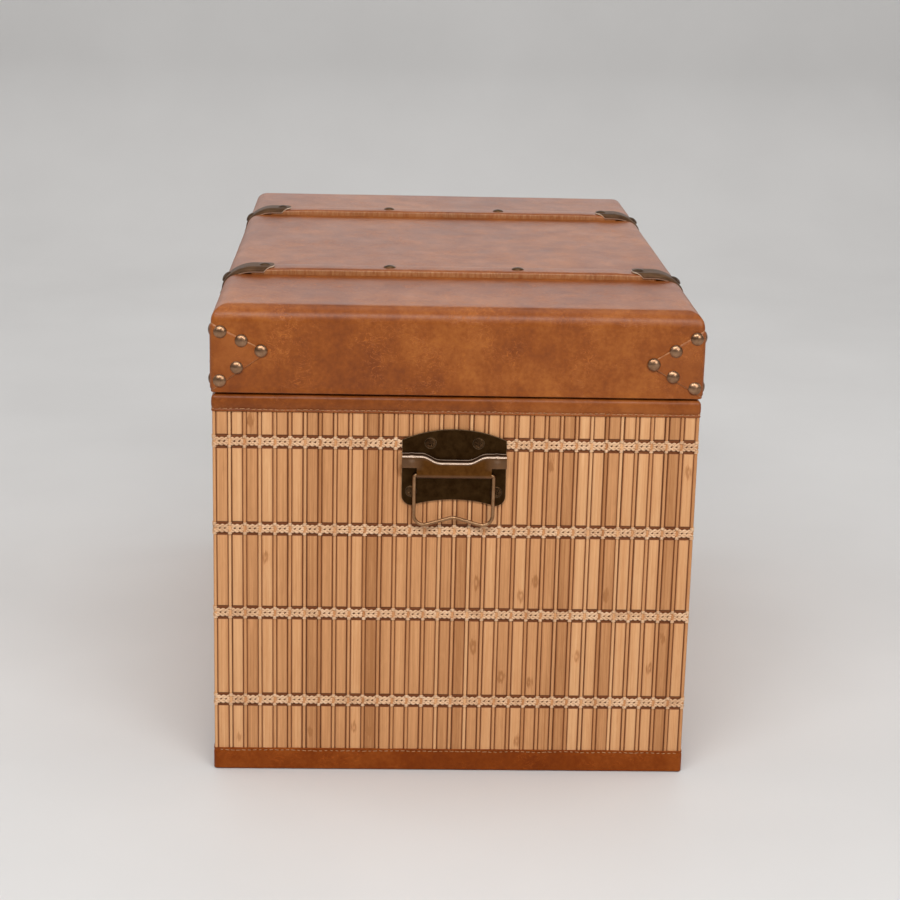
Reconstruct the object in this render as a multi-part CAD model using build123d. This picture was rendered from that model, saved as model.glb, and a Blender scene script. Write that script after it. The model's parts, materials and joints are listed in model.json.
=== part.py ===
from build123d import *
import math
import os

# Storage chest with a leather lid and a body clad in woven bamboo, in millimetres.
# +X is the right end, +Y the back, +Z up. The origin is the middle of the footprint on the floor.

# Overall size
lid_length = 672.0
lid_width = 430.0
chest_height = 431.0
lid_height = 77.0
joint_gap = 1.6
body_inset = 0.2

# Boards and linings
wall_thickness = 12.0
bottom_thickness = 9.0
bottom_rebate = 6.0
rail_thickness = 16.0
lid_board_thickness = 12.0
lid_board_rebate = 8.0
lining_thickness = 1.0

# Leather
cover_thickness = 1.5
cover_hem = 9.0
lid_edge_radius = 15.0
lid_corner_radius = 4.0
band_thickness = 0.9
band_lap = 4.0
base_band_height = 20.4
rim_band_drop = 15.4
rim_band_radius = 3.5
rim_band_inner_drop = 14.0

# Bamboo mats
slat_thickness = 2.0
slat_pitch = 13.25
slat_gap = 0.35
stick_width = 3.2
stick_thickness = 2.2
stick_crown_width = 1.7
mat_end_play = 0.2

# Thread bands woven across the slats, measured down from the rim band
thread_drops = (27.0, 107.0, 186.0, 269.5)
thread_band_height = 7.0
thread_band_proud = 0.8

# Battens across the lid
batten_width = 26.0
batten_height = 7.0
batten_edge_radius = 3.5
batten_end_inset = 26.0
batten_from_end = 161.0

# Clamps over the batten ends
clamp_thickness = 1.2
clamp_width = 30.0
clamp_crown_radius = 5.0
clamp_play = 0.2
clamp_tip_width = 9.0
clamp_tip_from_edge = 46.0
clamp_taper_length = 11.0
clamp_lip_clearance = 2.5
clamp_bend_angle = 45.0
clamp_tail_length = 3.0
clamp_tail_width = 8.0

# Leather corner patches
patch_thickness = 0.8
patch_reach = 48.7
patch_height = 60.0
patch_bottom_gap = 1.5
patch_tip_radius = 4.0

# Dome nails
nail_diameter = 11.5
nail_height = 2.5
nail_facets = 8
patch_nail_inset = 7.6
patch_nail_rise = 8.6
patch_nail_tip_inset = 4.8
clamp_nail_from_tip = 6.5
batten_nail_offset = 60.0

# End handles
handle_off_centre = -1.5
plate_width = 92.0
plate_side_height = 60.0
plate_arc_rise = 9.8
plate_thickness = 1.2
plate_lobe_radius = 9.0
plate_arch_rise = 5.6
plate_below_band = 13.0
handle_screw_head_radius = 4.7
handle_screw_hole_radius = 2.1
handle_screw_proud = 0.8
screw_facets = 8
screw_play = 0.1
upper_screw_offset = 21.1
upper_screw_rise = 57.3
lower_screw_offset = 37.6
lower_screw_rise = 13.0

# Pressed bridge that carries the bail
bridge_depth = 8.0
bridge_sheet = 1.2
bridge_top_rise = 47.5
bridge_dip = 6.0
bridge_dip_width = 30.0
bridge_dip_slope = 11.0
bridge_wing_height = 11.3
bridge_height = 21.7
bridge_core_width = 66.0

# Wire bail
bail_wire_radius = 1.4
bail_wire_facets = 6
bail_bend_chords = 4
bail_play = 0.3
bail_side_gap = 0.6
bail_drop = 45.5
bail_corner_radius = 9.0
bail_inner_bend = 0.6
bail_peak_rise = 7.6
bail_peak_radius = 10.0
bail_end_length = 9.0

# Stop hinges on the back
hinge_spacing = 400.0
hinge_length = 60.0
hinge_leaf_height = 14.0
hinge_leaf_thickness = 1.2
hinge_knuckle_radius = 3.0
hinge_pin_radius = 1.5
hinge_pin_play = 0.05
hinge_knuckle_count = 3
hinge_knuckle_gap = 0.3
hinge_back_gap = 0.2
hinge_open_angle = 98.0
hinge_stop_play = 0.5
hinge_stop_length = 10.0
hinge_stop_reach = 9.0
hinge_stop_clearance = 3.6
hinge_screw_radius = 2.6
hinge_screw_hole_radius = 1.3
hinge_screw_proud = 0.5
hinge_screw_spacing = 22.0
hinge_screw_rise = 9.5

# Sizes that follow from those above
lid_half_length = lid_length / 2
lid_half_width = lid_width / 2
lid_bottom = chest_height - lid_height
rim_top = lid_bottom - joint_gap
band_half_length = lid_half_length - body_inset
band_half_width = lid_half_width - body_inset
mat_half_length = band_half_length - band_thickness
mat_half_width = band_half_width - band_thickness
mat_thickness = max(slat_thickness, stick_thickness)
box_half_length = mat_half_length - mat_thickness
box_half_width = mat_half_width - mat_thickness
inner_half_length = box_half_length - wall_thickness
inner_half_width = box_half_width - wall_thickness
wall_top = rim_top - band_thickness
rim_band_bottom = rim_top - rim_band_drop
mat_bottom = base_band_height - band_lap + mat_end_play
mat_top = rim_band_bottom + band_lap - mat_end_play
rail_bottom = lid_bottom + cover_thickness
rail_inner_half_length = lid_half_length - cover_thickness - rail_thickness
rail_inner_half_width = lid_half_width - cover_thickness - rail_thickness
lid_board_bottom = chest_height - cover_thickness - lid_board_thickness
batten_x = lid_half_length - batten_from_end
batten_top = chest_height + batten_height
batten_half_length = lid_half_width - batten_end_inset
plate_back = mat_half_length + thread_band_proud
plate_front = plate_back + plate_thickness
plate_bottom_height = rim_band_bottom - plate_below_band - plate_arc_rise - plate_side_height
bridge_top = plate_bottom_height + bridge_top_rise
bridge_bottom = bridge_top - bridge_height
bail_pivot_height = bridge_bottom + bridge_sheet + bail_play + bail_wire_radius
bail_pivot_out = plate_front + (bridge_depth - bridge_sheet) / 2
bail_half_width = bridge_core_width / 2 + bail_side_gap + bail_wire_radius
hinge_axis_y = lid_half_width + hinge_back_gap + hinge_knuckle_radius
hinge_axis_z = lid_bottom - joint_gap / 2

# Each side's turn about Z from the front side
side_turns = {"front": 0, "right": 90, "back": 180, "left": 270}


def block(x_range, y_range, z_range):
    """A box between two limits on each axis."""
    sizes = [high - low for low, high in (x_range, y_range, z_range)]
    middle = [(low + high) / 2 for low, high in (x_range, y_range, z_range)]
    return Pos(*middle) * Box(*sizes)


def save(node, *solids):
    """Write the solids of one sub-part to its file."""
    pieces = [piece for solid in solids for piece in solid.solids()]
    export_step(Compound(children=pieces) if len(pieces) > 1 else pieces[0], f"parts/{node}.step")


def on_side(shape, side, half_length, half_width):
    """Place a shape made for the front, with its back at Y = 0, on one side."""
    out = half_width if side in ("front", "back") else half_length
    return Rot(0, 0, side_turns[side]) * Pos(0, -out, 0) * shape


def mitre_sector(side):
    """The part of the plan that belongs to one side of a frame with mitred corners."""
    low, high = -lid_height, chest_height + lid_height
    across = lid_half_width + cover_thickness
    along = lid_half_length + cover_thickness
    if side in ("right", "left"):
        outline = Polyline((along, -across), (along, across), (along - across, 0), close=True)
    else:
        outline = Polyline(
            (-along, -across), (along, -across), (along - across, 0), (across - along, 0), close=True
        )
    turn = 180 if side in ("back", "left") else 0
    return Rot(0, 0, turn) * Pos(0, 0, low) * extrude(make_face(outline), high - low)


def rounded_top(width, height, radius):
    """A rectangle that stands on the X axis, with its two top corners rounded."""
    outline = Pos(0, height / 2) * Rectangle(width, height)
    return fillet(outline.vertices().sort_by(Axis.Y)[-2:], radius)


def across_x(face, half_length):
    """Extrude a profile drawn in Y and Z both ways along X."""
    return extrude(Plane.YZ * face, half_length, both=True)


def across_y(face, half_length):
    """Extrude a profile drawn in X and Z both ways along Y."""
    return extrude(Plane.XZ * face, half_length, both=True)


def lid_form(inset, bottom):
    """The lid's rounded outer form, drawn in by an inset all round, from a given height."""
    length = lid_length - 2 * inset
    width = lid_width - 2 * inset
    height = chest_height - inset - bottom
    radius = lid_edge_radius - inset
    plan = extrude(RectangleRounded(length, width, lid_corner_radius - inset), height)
    along = across_x(rounded_top(width, height, radius), length)
    across = across_y(rounded_top(length, height, radius), width)
    return Pos(0, 0, bottom) * (plan & along & across)


# Body boards

def long_wall(side):
    """The front or back board, as long as the box, rebated for the bottom board."""
    x = (-box_half_length, box_half_length)
    board = block(x, (0, wall_thickness), (0, wall_top))
    return on_side(board - rebate(box_half_length), side, box_half_length, box_half_width)


def end_wall(side):
    """An end board between the front and back boards, rebated for the bottom board."""
    x = (-inner_half_width, inner_half_width)
    board = block(x, (0, wall_thickness), (0, wall_top))
    return on_side(board - rebate(inner_half_width), side, box_half_length, box_half_width)


def rebate(half_length):
    """The step along a wall board's lower inner edge that takes the bottom board."""
    y = (wall_thickness - bottom_rebate, wall_thickness)
    return block((-half_length, half_length), y, (0, bottom_thickness))


def bottom_board():
    """The bottom board, let into the four wall boards and flush with their lower edges."""
    x = inner_half_length + bottom_rebate
    y = inner_half_width + bottom_rebate
    return block((-x, x), (-y, y), (0, bottom_thickness))


# Woven bamboo cladding

def mat_span(side):
    """The width that a mat covers: the end mats cover the corners of the long ones."""
    return 2 * mat_half_width if side in ("right", "left") else 2 * box_half_length


def mat_pitch(side):
    """The real pitch of the slats, and their number, that fills a side."""
    span = mat_span(side) - stick_width
    count = round(span / slat_pitch)
    return span / count, count


def slats(side):
    """The wide flat slats of one side."""
    pitch, count = mat_pitch(side)
    half = (pitch - stick_width) / 2 - slat_gap
    slat = block((-half, half), (-slat_thickness, 0), (mat_bottom, mat_top))
    first = -pitch * (count - 1) / 2
    row = [Pos(first + pitch * number, 0, 0) * slat for number in range(count)]
    return [on_side(one, side, box_half_length, box_half_width) for one in row]


def stick_profile():
    """The crowned section of a stick, with its flat back on the X axis."""
    back = stick_width / 2
    crown = stick_crown_width / 2
    outline = Polyline(
        (-back, 0), (back, 0), (crown, -stick_thickness), (-crown, -stick_thickness), close=True
    )
    return make_face(outline)


def sticks(side):
    """The thin crowned sticks between the slats and at both ends of one side."""
    pitch, count = mat_pitch(side)
    stick = Pos(0, 0, mat_bottom) * extrude(stick_profile(), mat_top - mat_bottom)
    first = -pitch * count / 2
    row = [Pos(first + pitch * number, 0, 0) * stick for number in range(count + 1)]
    return [on_side(one, side, box_half_length, box_half_width) for one in row]


def thread_band(height):
    """One band of woven thread round the four sides."""
    proud = thread_band_proud
    low = height - thread_band_height / 2
    out = Rectangle(2 * (mat_half_length + proud), 2 * (mat_half_width + proud))
    core = Rectangle(2 * mat_half_length, 2 * mat_half_width)
    return Pos(0, 0, low) * extrude(out - core, thread_band_height)


# Leather bands of the body

def base_band(side):
    """The band round the foot, which laps the lower ends of the mat."""
    back = band_thickness + mat_thickness
    section = Polyline(
        (0, 0),
        (0, base_band_height),
        (band_thickness, base_band_height),
        (band_thickness, base_band_height - band_lap),
        (back, base_band_height - band_lap),
        (back, 0),
        close=True,
    )
    strip = across_x(make_face(section), lid_length)
    return on_side(strip, side, band_half_length, band_half_width) & mitre_sector(side)


def rim_band(side):
    """The padded band round the mouth: it laps the mat and folds over the boards' top edge."""
    back = band_thickness + mat_thickness
    inner = back + wall_thickness + band_thickness
    low = rim_band_bottom
    section = Polyline(
        (rim_band_radius, rim_top),
        (inner, rim_top),
        (inner, rim_top - rim_band_inner_drop),
        (inner - band_thickness, rim_top - rim_band_inner_drop),
        (inner - band_thickness, wall_top),
        (back, wall_top),
        (back, low + band_lap),
        (band_thickness, low + band_lap),
        (band_thickness, low),
        (0, low),
        (0, rim_top - rim_band_radius),
    )
    middle = (rim_band_radius, rim_top - rim_band_radius)
    rounding = CenterArc(middle, rim_band_radius, 90, 90)
    strip = across_x(make_face([section, rounding]), lid_length)
    return on_side(strip, side, band_half_length, band_half_width) & mitre_sector(side)


# Lining of the body

def wall_linings():
    """Cloth linings on the four inner walls, below the rim band, and on the floor."""
    top = rim_top - rim_band_inner_drop
    x = inner_half_length
    y = inner_half_width
    z = (bottom_thickness + lining_thickness, top)
    front = block((-x, x), (-y, lining_thickness - y), z)
    right = block((x - lining_thickness, x), (lining_thickness - y, y - lining_thickness), z)
    floor = block((-x, x), (-y, y), (bottom_thickness, bottom_thickness + lining_thickness))
    return [front, mirror(front, Plane.XZ), right, mirror(right, Plane.YZ), floor]


# Lid boards, cover and lining

def lid_rails():
    """The frame of four solid rails as one form, with a rebate for the top board."""
    core = lid_form(cover_thickness, rail_bottom)
    x = rail_inner_half_length
    y = rail_inner_half_width
    hollow = block((-x, x), (-y, y), (rail_bottom, chest_height))
    recess = block(
        (-x - lid_board_rebate, x + lid_board_rebate),
        (-y - lid_board_rebate, y + lid_board_rebate),
        (lid_board_bottom, chest_height),
    )
    return core - hollow - recess


def lid_board():
    """The top board, which lies in the rails' rebate and follows the rounded edge."""
    x = rail_inner_half_length + lid_board_rebate
    y = rail_inner_half_width + lid_board_rebate
    board = block((-x, x), (-y, y), (lid_board_bottom, chest_height))
    return board & lid_form(cover_thickness, rail_bottom)


def lid_cover():
    """The leather over the lid, with rounded edges and a hem folded under the rails."""
    x = lid_half_length - cover_thickness - cover_hem
    y = lid_half_width - cover_thickness - cover_hem
    mouth = block((-x, x), (-y, y), (lid_bottom, rail_bottom))
    return lid_form(0, lid_bottom) - lid_form(cover_thickness, rail_bottom) - mouth


def lid_linings():
    """Cloth linings inside the lid's rails and under its board."""
    x = rail_inner_half_length
    y = rail_inner_half_width
    z = (rail_bottom, lid_board_bottom - lining_thickness)
    front = block((-x, x), (-y, lining_thickness - y), z)
    right = block((x - lining_thickness, x), (lining_thickness - y, y - lining_thickness), z)
    ceiling = block((-x, x), (-y, y), (lid_board_bottom - lining_thickness, lid_board_bottom))
    return [front, mirror(front, Plane.XZ), right, mirror(right, Plane.YZ), ceiling]


# Battens and their clamps

def batten_form(play):
    """A batten's rounded form on the lid, made larger by a play all round."""
    width = batten_width + 2 * play
    length = 2 * (batten_half_length + play)
    height = batten_height + play
    radius = batten_edge_radius + play
    section = across_y(rounded_top(width, height, radius), length)
    side_view = across_x(rounded_top(length, height, radius), width)
    return Pos(0, 0, chest_height) * (section & side_view)


def clamp_strap():
    """The bent strap of a clamp, drawn from the side: flat, a wide bend, a tight bend, a tail."""
    turn = math.radians(clamp_bend_angle)
    tight = lid_edge_radius
    tight_middle = (lid_half_width - lid_edge_radius, chest_height - lid_edge_radius)
    rise = batten_height + lid_edge_radius + clamp_play
    wide = (rise - tight * math.sin(turn)) / (1 - math.sin(turn))
    wide_middle = (
        tight_middle[0] - (wide - tight) * math.cos(turn),
        tight_middle[1] - (wide - tight) * math.sin(turn),
    )
    tip = lid_half_width - clamp_tip_from_edge
    flat = tight_middle[1] + rise
    tail = tight_middle[1] - clamp_tail_length
    lines = [
        Line((tip, flat), (wide_middle[0], flat)),
        CenterArc(wide_middle, wide, 90, clamp_bend_angle - 90),
        CenterArc(tight_middle, tight, clamp_bend_angle, -clamp_bend_angle),
        Line((lid_half_width, tight_middle[1]), (lid_half_width, tail)),
        Line((lid_half_width, tail), (lid_half_width + clamp_thickness, tail)),
        Line((lid_half_width + clamp_thickness, tail), (lid_half_width + clamp_thickness, tight_middle[1])),
        CenterArc(tight_middle, tight + clamp_thickness, 0, clamp_bend_angle),
        CenterArc(wide_middle, wide + clamp_thickness, clamp_bend_angle, 90 - clamp_bend_angle),
        Line((wide_middle[0], flat + clamp_thickness), (tip, flat + clamp_thickness)),
        Line((tip, flat + clamp_thickness), (tip, flat)),
    ]
    return across_x(make_face(lines), clamp_width / 2)


def clamp_plan(deep):
    """The clamp's outline from above: a tapered tip that widens to the full width."""
    tip = lid_half_width - clamp_tip_from_edge
    outline = Polyline(
        (-clamp_tip_width / 2, tip),
        (clamp_tip_width / 2, tip),
        (clamp_width / 2, tip + clamp_taper_length),
        (clamp_width / 2, lid_width),
        (-clamp_width / 2, lid_width),
        (-clamp_width / 2, tip + clamp_taper_length),
        close=True,
    )
    return Pos(0, 0, chest_height - deep) * extrude(make_face(outline), 2 * deep)


def clamp_front(deep):
    """The clamp's outline from the side wall: crowned above, tapered to the tail below."""
    crown = rounded_top(clamp_width, deep, clamp_crown_radius)
    low = lid_edge_radius + clamp_tail_length + batten_height + clamp_play + clamp_thickness
    high = low - clamp_tail_length - lid_edge_radius / 2
    taper = Polyline(
        (-clamp_tail_width / 2, deep - low),
        (clamp_tail_width / 2, deep - low),
        (clamp_width / 2, deep - low + high),
        (clamp_width / 2, deep),
        (-clamp_width / 2, deep),
        (-clamp_width / 2, deep - low + high),
        close=True,
    )
    face = crown & make_face(taper)
    top = batten_top + clamp_play + clamp_thickness
    return Pos(0, 0, top - deep) * across_y(face, lid_width)


def batten_clamp():
    """One clamp at the back end of a batten: a crowned saddle and a strap bent over the lid's edge."""
    deep = 2 * lid_edge_radius + batten_height
    tip = lid_half_width - clamp_tip_from_edge
    saddle = block(
        (-clamp_width / 2, clamp_width / 2),
        (tip, batten_half_length + clamp_play),
        (chest_height + clamp_lip_clearance, batten_top + clamp_play + clamp_thickness),
    )
    saddle -= batten_form(clamp_play)
    return (saddle + clamp_strap()) & clamp_plan(deep) & clamp_front(deep)


def at_battens(shape):
    """Copies of a shape made for the back end of a batten, at both ends of both battens."""
    ends = [shape, mirror(shape, Plane.XZ)]
    return [Pos(x, 0, 0) * one for x in (-batten_x, batten_x) for one in ends]


# Corner patches and dome nails

def patch_prism(half_width, half_length):
    """A triangle with a rounded tip, drawn on an end of the lid at the back corner."""
    low = lid_bottom + patch_bottom_gap
    base = half_width + patch_thickness
    tip = half_width - patch_reach
    spread = patch_thickness * patch_height / (2 * patch_reach)
    outline = Polyline(
        (base, low - spread), (base, low + patch_height + spread), (tip, low + patch_height / 2), close=True
    )
    face = make_face(outline)
    face = fillet(face.vertices().sort_by(Axis.X)[:1], patch_tip_radius)
    depth = lid_corner_radius + patch_thickness
    return Pos(half_length - lid_corner_radius, 0, 0) * extrude(Plane.YZ * face, depth)


def corner_patch():
    """The leather patch folded round the right back corner of the lid."""
    shell = lid_form(-patch_thickness, lid_bottom) - lid_form(0, lid_bottom)
    end_wing = patch_prism(lid_half_width, lid_half_length)
    long_wing = mirror(Rot(0, 0, 90) * patch_prism(lid_half_length, lid_half_width), Plane.YZ)
    return shell & (end_wing + long_wing)


def at_corners(shape):
    """Copies of a shape made for the right back corner, at all four corners."""
    back = [shape, mirror(shape, Plane.YZ)]
    return back + [mirror(one, Plane.XZ) for one in back]


def stacked_rings(rings, facets, point=None):
    """A solid with flat facets through rings of a radius and a height, closed flat or at a point's height."""
    turns = [2 * math.pi * number / facets for number in range(facets)]
    around = [(math.cos(turn), math.sin(turn)) for turn in turns]
    loops = [[(radius * x, radius * y, height) for x, y in around] for radius, height in rings]
    outlines = [loops[0]] if point else [loops[0], loops[-1]]
    for low, high in zip(loops, loops[1:]):
        outlines += [[low[n - 1], low[n], high[n], high[n - 1]] for n in range(facets)]
    if point:
        outlines += [[loops[-1][n - 1], loops[-1][n], (0, 0, point)] for n in range(facets)]
    return Solid(Shell([Face(Wire.make_polygon(outline)) for outline in outlines]))


def dome_rings(radius, height):
    """Two rings on a low dome: its rim and its shoulder."""
    sphere = (radius**2 + height**2) / (2 * height)
    reach = math.acos(1 - height / sphere)
    angles = [reach, reach / 2]
    return [(sphere * math.sin(angle), height - sphere * (1 - math.cos(angle))) for angle in angles]


def dome_nail():
    """A dome nail head that stands on the XY plane."""
    return stacked_rings(dome_rings(nail_diameter / 2, nail_height), nail_facets, nail_height)


def patch_nails():
    """The nails of one corner: three at the patch's points and two halfway, on both faces."""
    low = lid_bottom + patch_bottom_gap + patch_nail_rise
    high = lid_bottom + patch_bottom_gap + patch_height - patch_nail_rise
    outer = lid_half_width - patch_nail_inset
    tip = (lid_half_width - patch_reach + patch_nail_tip_inset, (low + high) / 2)
    corners = [(outer, low), (outer, high)]
    halfway = [((y + tip[0]) / 2, (z + tip[1]) / 2) for y, z in corners]
    nail = Rot(0, 90, 0) * dome_nail()
    out = lid_half_length + patch_thickness
    end_nails = [Pos(out, y, z) * nail for y, z in corners + halfway + [tip]]
    side_nail = Rot(-90, 0, 0) * dome_nail()
    out = lid_half_width + patch_thickness
    shift = lid_half_length - lid_half_width
    side_nails = [Pos(y + shift, out, z) * side_nail for y, z in corners + halfway + [tip]]
    return end_nails + side_nails


def clamp_nails():
    """The two nails of the clamp at the back end of a batten."""
    tip = lid_half_width - clamp_tip_from_edge + clamp_nail_from_tip
    top = batten_top + clamp_play + clamp_thickness
    out = lid_edge_radius + clamp_thickness
    turn = math.radians(clamp_bend_angle)
    bend = Pos(
        0,
        lid_half_width - lid_edge_radius + out * math.cos(turn),
        chest_height - lid_edge_radius + out * math.sin(turn),
    )
    return [Pos(0, tip, top) * dome_nail(), bend * Rot(clamp_bend_angle - 90, 0, 0) * dome_nail()]


def batten_nails():
    """The two nails on each batten between its clamps."""
    nails = []
    for x in (-batten_x, batten_x):
        for y in (-batten_nail_offset, batten_nail_offset):
            nails.append(Pos(x, y, batten_top) * dome_nail())
    return nails


# End handles, made for the right end

def at_handle(shape, side):
    """Place a shape made for the right end's handle on the right or left end."""
    turn = 0 if side == "right" else 180
    return Rot(0, 0, turn) * Pos(0, handle_off_centre, 0) * shape


def handle_plate():
    """The stamped back plate: an arched top, rounded lobes and a hollow arch below."""
    half = plate_width / 2
    lobe = plate_lobe_radius
    foot = half - lobe
    top = plate_side_height + plate_arc_rise
    outline = [
        ThreePointArc((-half, plate_side_height), (0, top), (half, plate_side_height)),
        Line((half, plate_side_height), (half, lobe)),
        CenterArc((foot, lobe), lobe, 0, -90),
        ThreePointArc((foot, 0), (0, plate_arch_rise), (-foot, 0)),
        CenterArc((-foot, lobe), lobe, 270, -90),
        Line((-half, lobe), (-half, plate_side_height)),
    ]
    plate = extrude(Plane.YZ * make_face(outline), plate_thickness)
    plate = Pos(plate_back, 0, plate_bottom_height) * plate
    sink = Rot(0, 90, 0) * screw_sink(handle_screw_head_radius, handle_screw_hole_radius, plate_thickness)
    for spot in handle_screw_spots():
        plate -= Pos(plate_front, *spot) * sink
    return plate


def handle_screw_spots():
    """The four screws' places on a handle plate, as Y and Z."""
    upper = plate_bottom_height + upper_screw_rise
    lower = plate_bottom_height + lower_screw_rise
    return [
        (-upper_screw_offset, upper),
        (upper_screw_offset, upper),
        (-lower_screw_offset, lower),
        (lower_screw_offset, lower),
    ]


def screw_sink(head, hole, deep):
    """The countersunk hole for a screw, from its rim at Z = 0 down through a sheet."""
    return stacked_rings([(hole + screw_play, -deep), (head + screw_play, 0)], screw_facets)


def countersunk_screw(head, hole, deep, proud):
    """A screw's raised countersunk head, which points along Z, with its rim at Z = 0."""
    rings = [(hole, -deep), (head, 0), (head / 2, proud)]
    return stacked_rings(rings, screw_facets)


def handle_screws():
    """The four screws of one handle."""
    screw = Rot(0, 90, 0) * countersunk_screw(
        handle_screw_head_radius, handle_screw_hole_radius, plate_thickness, handle_screw_proud
    )
    return [Pos(plate_front, *spot) * screw for spot in handle_screw_spots()]


def bridge_outline(sheet):
    """The bridge's front outline, or its hollow's when drawn in by the sheet's thickness."""
    far = plate_width / 2 + (bridge_sheet if sheet else 0)
    top = bridge_top - sheet
    dip = bridge_top - bridge_dip - sheet
    inner = bridge_dip_width / 2
    outer = inner + bridge_dip_slope
    low = bridge_bottom + sheet
    right = [(inner, dip), (outer, top), (far, top), (far, bridge_top - bridge_wing_height)]
    if sheet:
        right[-1] = (far, low)
    else:
        core = bridge_core_width / 2
        right += [(core, bridge_top - bridge_wing_height), (core, low)]
    left = [(-y, z) for y, z in reversed(right)]
    return make_face(Polyline(*right, *left, close=True))


def handle_bridge():
    """The pressed bridge: a dipped top ledge, two wings and a core that closes under the bail's ends."""
    body = extrude(Plane.YZ * bridge_outline(0), bridge_depth)
    hollow = extrude(Plane.YZ * bridge_outline(bridge_sheet), bridge_depth - bridge_sheet)
    return Pos(plate_front, 0, 0) * (body - hollow)


def bail_route():
    """The bail's centre line in its own plane, from one inturned end to the other."""
    low = bail_pivot_height - bail_drop
    side = bail_half_width
    slope = bail_peak_rise / (side - bail_corner_radius)
    corner = low - bail_corner_radius * (slope + math.hypot(1, slope) - 1)
    peak = corner + slope * side
    ends = side - bail_end_length
    points = [
        (ends, bail_pivot_height),
        (side, bail_pivot_height),
        (side, corner),
        (0, peak),
        (-side, corner),
        (-side, bail_pivot_height),
        (-ends, bail_pivot_height),
    ]
    shoulder = bail_wire_radius + bail_inner_bend
    radii = [shoulder, bail_corner_radius, bail_peak_radius, bail_corner_radius, shoulder]
    return FilletPolyline(*points, radius=radii)


def bail_points(route):
    """Points along the bail's centre line, with each bend divided into chords."""
    points = []
    for edge in route.edges():
        steps = bail_bend_chords if edge.geom_type == GeomType.CIRCLE else 1
        points += [edge @ (step / steps) for step in range(steps)]
    return [*points, route @ 1]


def handle_bail():
    """The wire bail, which hangs from its inturned ends inside the bridge."""
    route = Plane.YZ * Polyline(*bail_points(bail_route()))
    section = Plane(origin=route @ 0, z_dir=route % 0) * RegularPolygon(bail_wire_radius, bail_wire_facets)
    return Pos(bail_pivot_out, 0, 0) * sweep(section, path=route, transition=Transition.RIGHT)


# Stop hinges, made at the middle of the back

def leaf_plate(face_y, rise):
    """A flat leaf on a face at a given Y, above the axis if rise is 1 and below if -1."""
    near = hinge_knuckle_radius * rise + hinge_axis_z
    far = hinge_leaf_height * rise + hinge_axis_z
    x = (-hinge_length / 2, hinge_length / 2)
    y = (face_y, face_y + hinge_leaf_thickness)
    return block(x, y, (min(near, far), max(near, far)))


def knuckles(own, face_y, rise):
    """A leaf's knuckles, each with a web that joins it to the leaf."""
    step = hinge_length / hinge_knuckle_count
    long = step - hinge_knuckle_gap
    made = []
    for number in own:
        x = -hinge_length / 2 + step * (number + 0.5)
        roll = Rot(0, 90, 0) * Cylinder(hinge_knuckle_radius, long)
        near = hinge_axis_z
        far = hinge_axis_z + rise * hinge_knuckle_radius
        web = block(
            (-long / 2, long / 2), (face_y, face_y + hinge_leaf_thickness), (min(near, far), max(near, far))
        )
        made.append(Pos(x, 0, 0) * (web + Pos(0, hinge_axis_y, hinge_axis_z) * roll))
    return made


def stop_lug(face_y, rise):
    """The lug that meets the other leaf's lug when the lid is fully open."""
    lean = math.radians((180 - hinge_open_angle) / 2 - hinge_stop_play)
    back = face_y + hinge_leaf_thickness - hinge_axis_y
    near = (hinge_stop_clearance * math.sin(lean), hinge_stop_clearance * math.cos(lean))
    far = (hinge_stop_reach * math.sin(lean), hinge_stop_reach * math.cos(lean))
    points = [(back, hinge_stop_clearance + hinge_stop_play), near, far, (back, hinge_stop_reach)]
    outline = Polyline(*[(hinge_axis_y + y, hinge_axis_z + rise * z) for y, z in points], close=True)
    return across_x(make_face(outline), hinge_stop_length / 2)


def hinge_leaf(own, face_y, rise, bore):
    """One whole leaf: plate, knuckles, stop lug and screw holes."""
    leaf = leaf_plate(face_y, rise) + stop_lug(face_y, rise)
    for knuckle in knuckles(own, face_y, rise):
        leaf += knuckle
    leaf -= Pos(0, hinge_axis_y, hinge_axis_z) * Rot(0, 90, 0) * Cylinder(bore, hinge_length)
    sink = Rot(-90, 0, 0) * screw_sink(hinge_screw_radius, hinge_screw_hole_radius, hinge_leaf_thickness)
    for x, z in hinge_screw_spots(rise):
        leaf -= Pos(x, face_y + hinge_leaf_thickness, z) * sink
    return leaf


def hinge_screw_spots(rise):
    """The two screws' places on a leaf, as X and Z."""
    z = hinge_axis_z + rise * hinge_screw_rise
    return [(-hinge_screw_spacing, z), (hinge_screw_spacing, z)]


def hinge_screws(face_y, rise):
    """The screws of one leaf."""
    screw = Rot(-90, 0, 0) * countersunk_screw(
        hinge_screw_radius, hinge_screw_hole_radius, hinge_leaf_thickness, hinge_screw_proud
    )
    return [Pos(x, face_y + hinge_leaf_thickness, z) * screw for x, z in hinge_screw_spots(rise)]


def hinge_pin():
    """The pin through a hinge's knuckles."""
    return Pos(0, hinge_axis_y, hinge_axis_z) * Rot(0, 90, 0) * Cylinder(hinge_pin_radius, hinge_length)


def at_hinges(shapes):
    """Copies of shapes made at the middle of the back, at both hinges."""
    return [Pos(x, 0, 0) * one for x in (-hinge_spacing / 2, hinge_spacing / 2) for one in shapes]


def write_body():
    """Write every sub-part of the chest's body."""
    save("front_board", long_wall("front"))
    save("back_board", long_wall("back"))
    save("right_end_board", end_wall("right"))
    save("left_end_board", end_wall("left"))
    save("bottom_board", bottom_board())
    for side in side_turns:
        save(f"{side}_slats", *slats(side))
        save(f"{side}_sticks", *sticks(side))
    save("thread_bands", *[thread_band(rim_band_bottom - drop) for drop in thread_drops])
    save("base_band", *[base_band(side) for side in side_turns])
    save("rim_band", *[rim_band(side) for side in side_turns])
    save("body_lining", *wall_linings())


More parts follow.
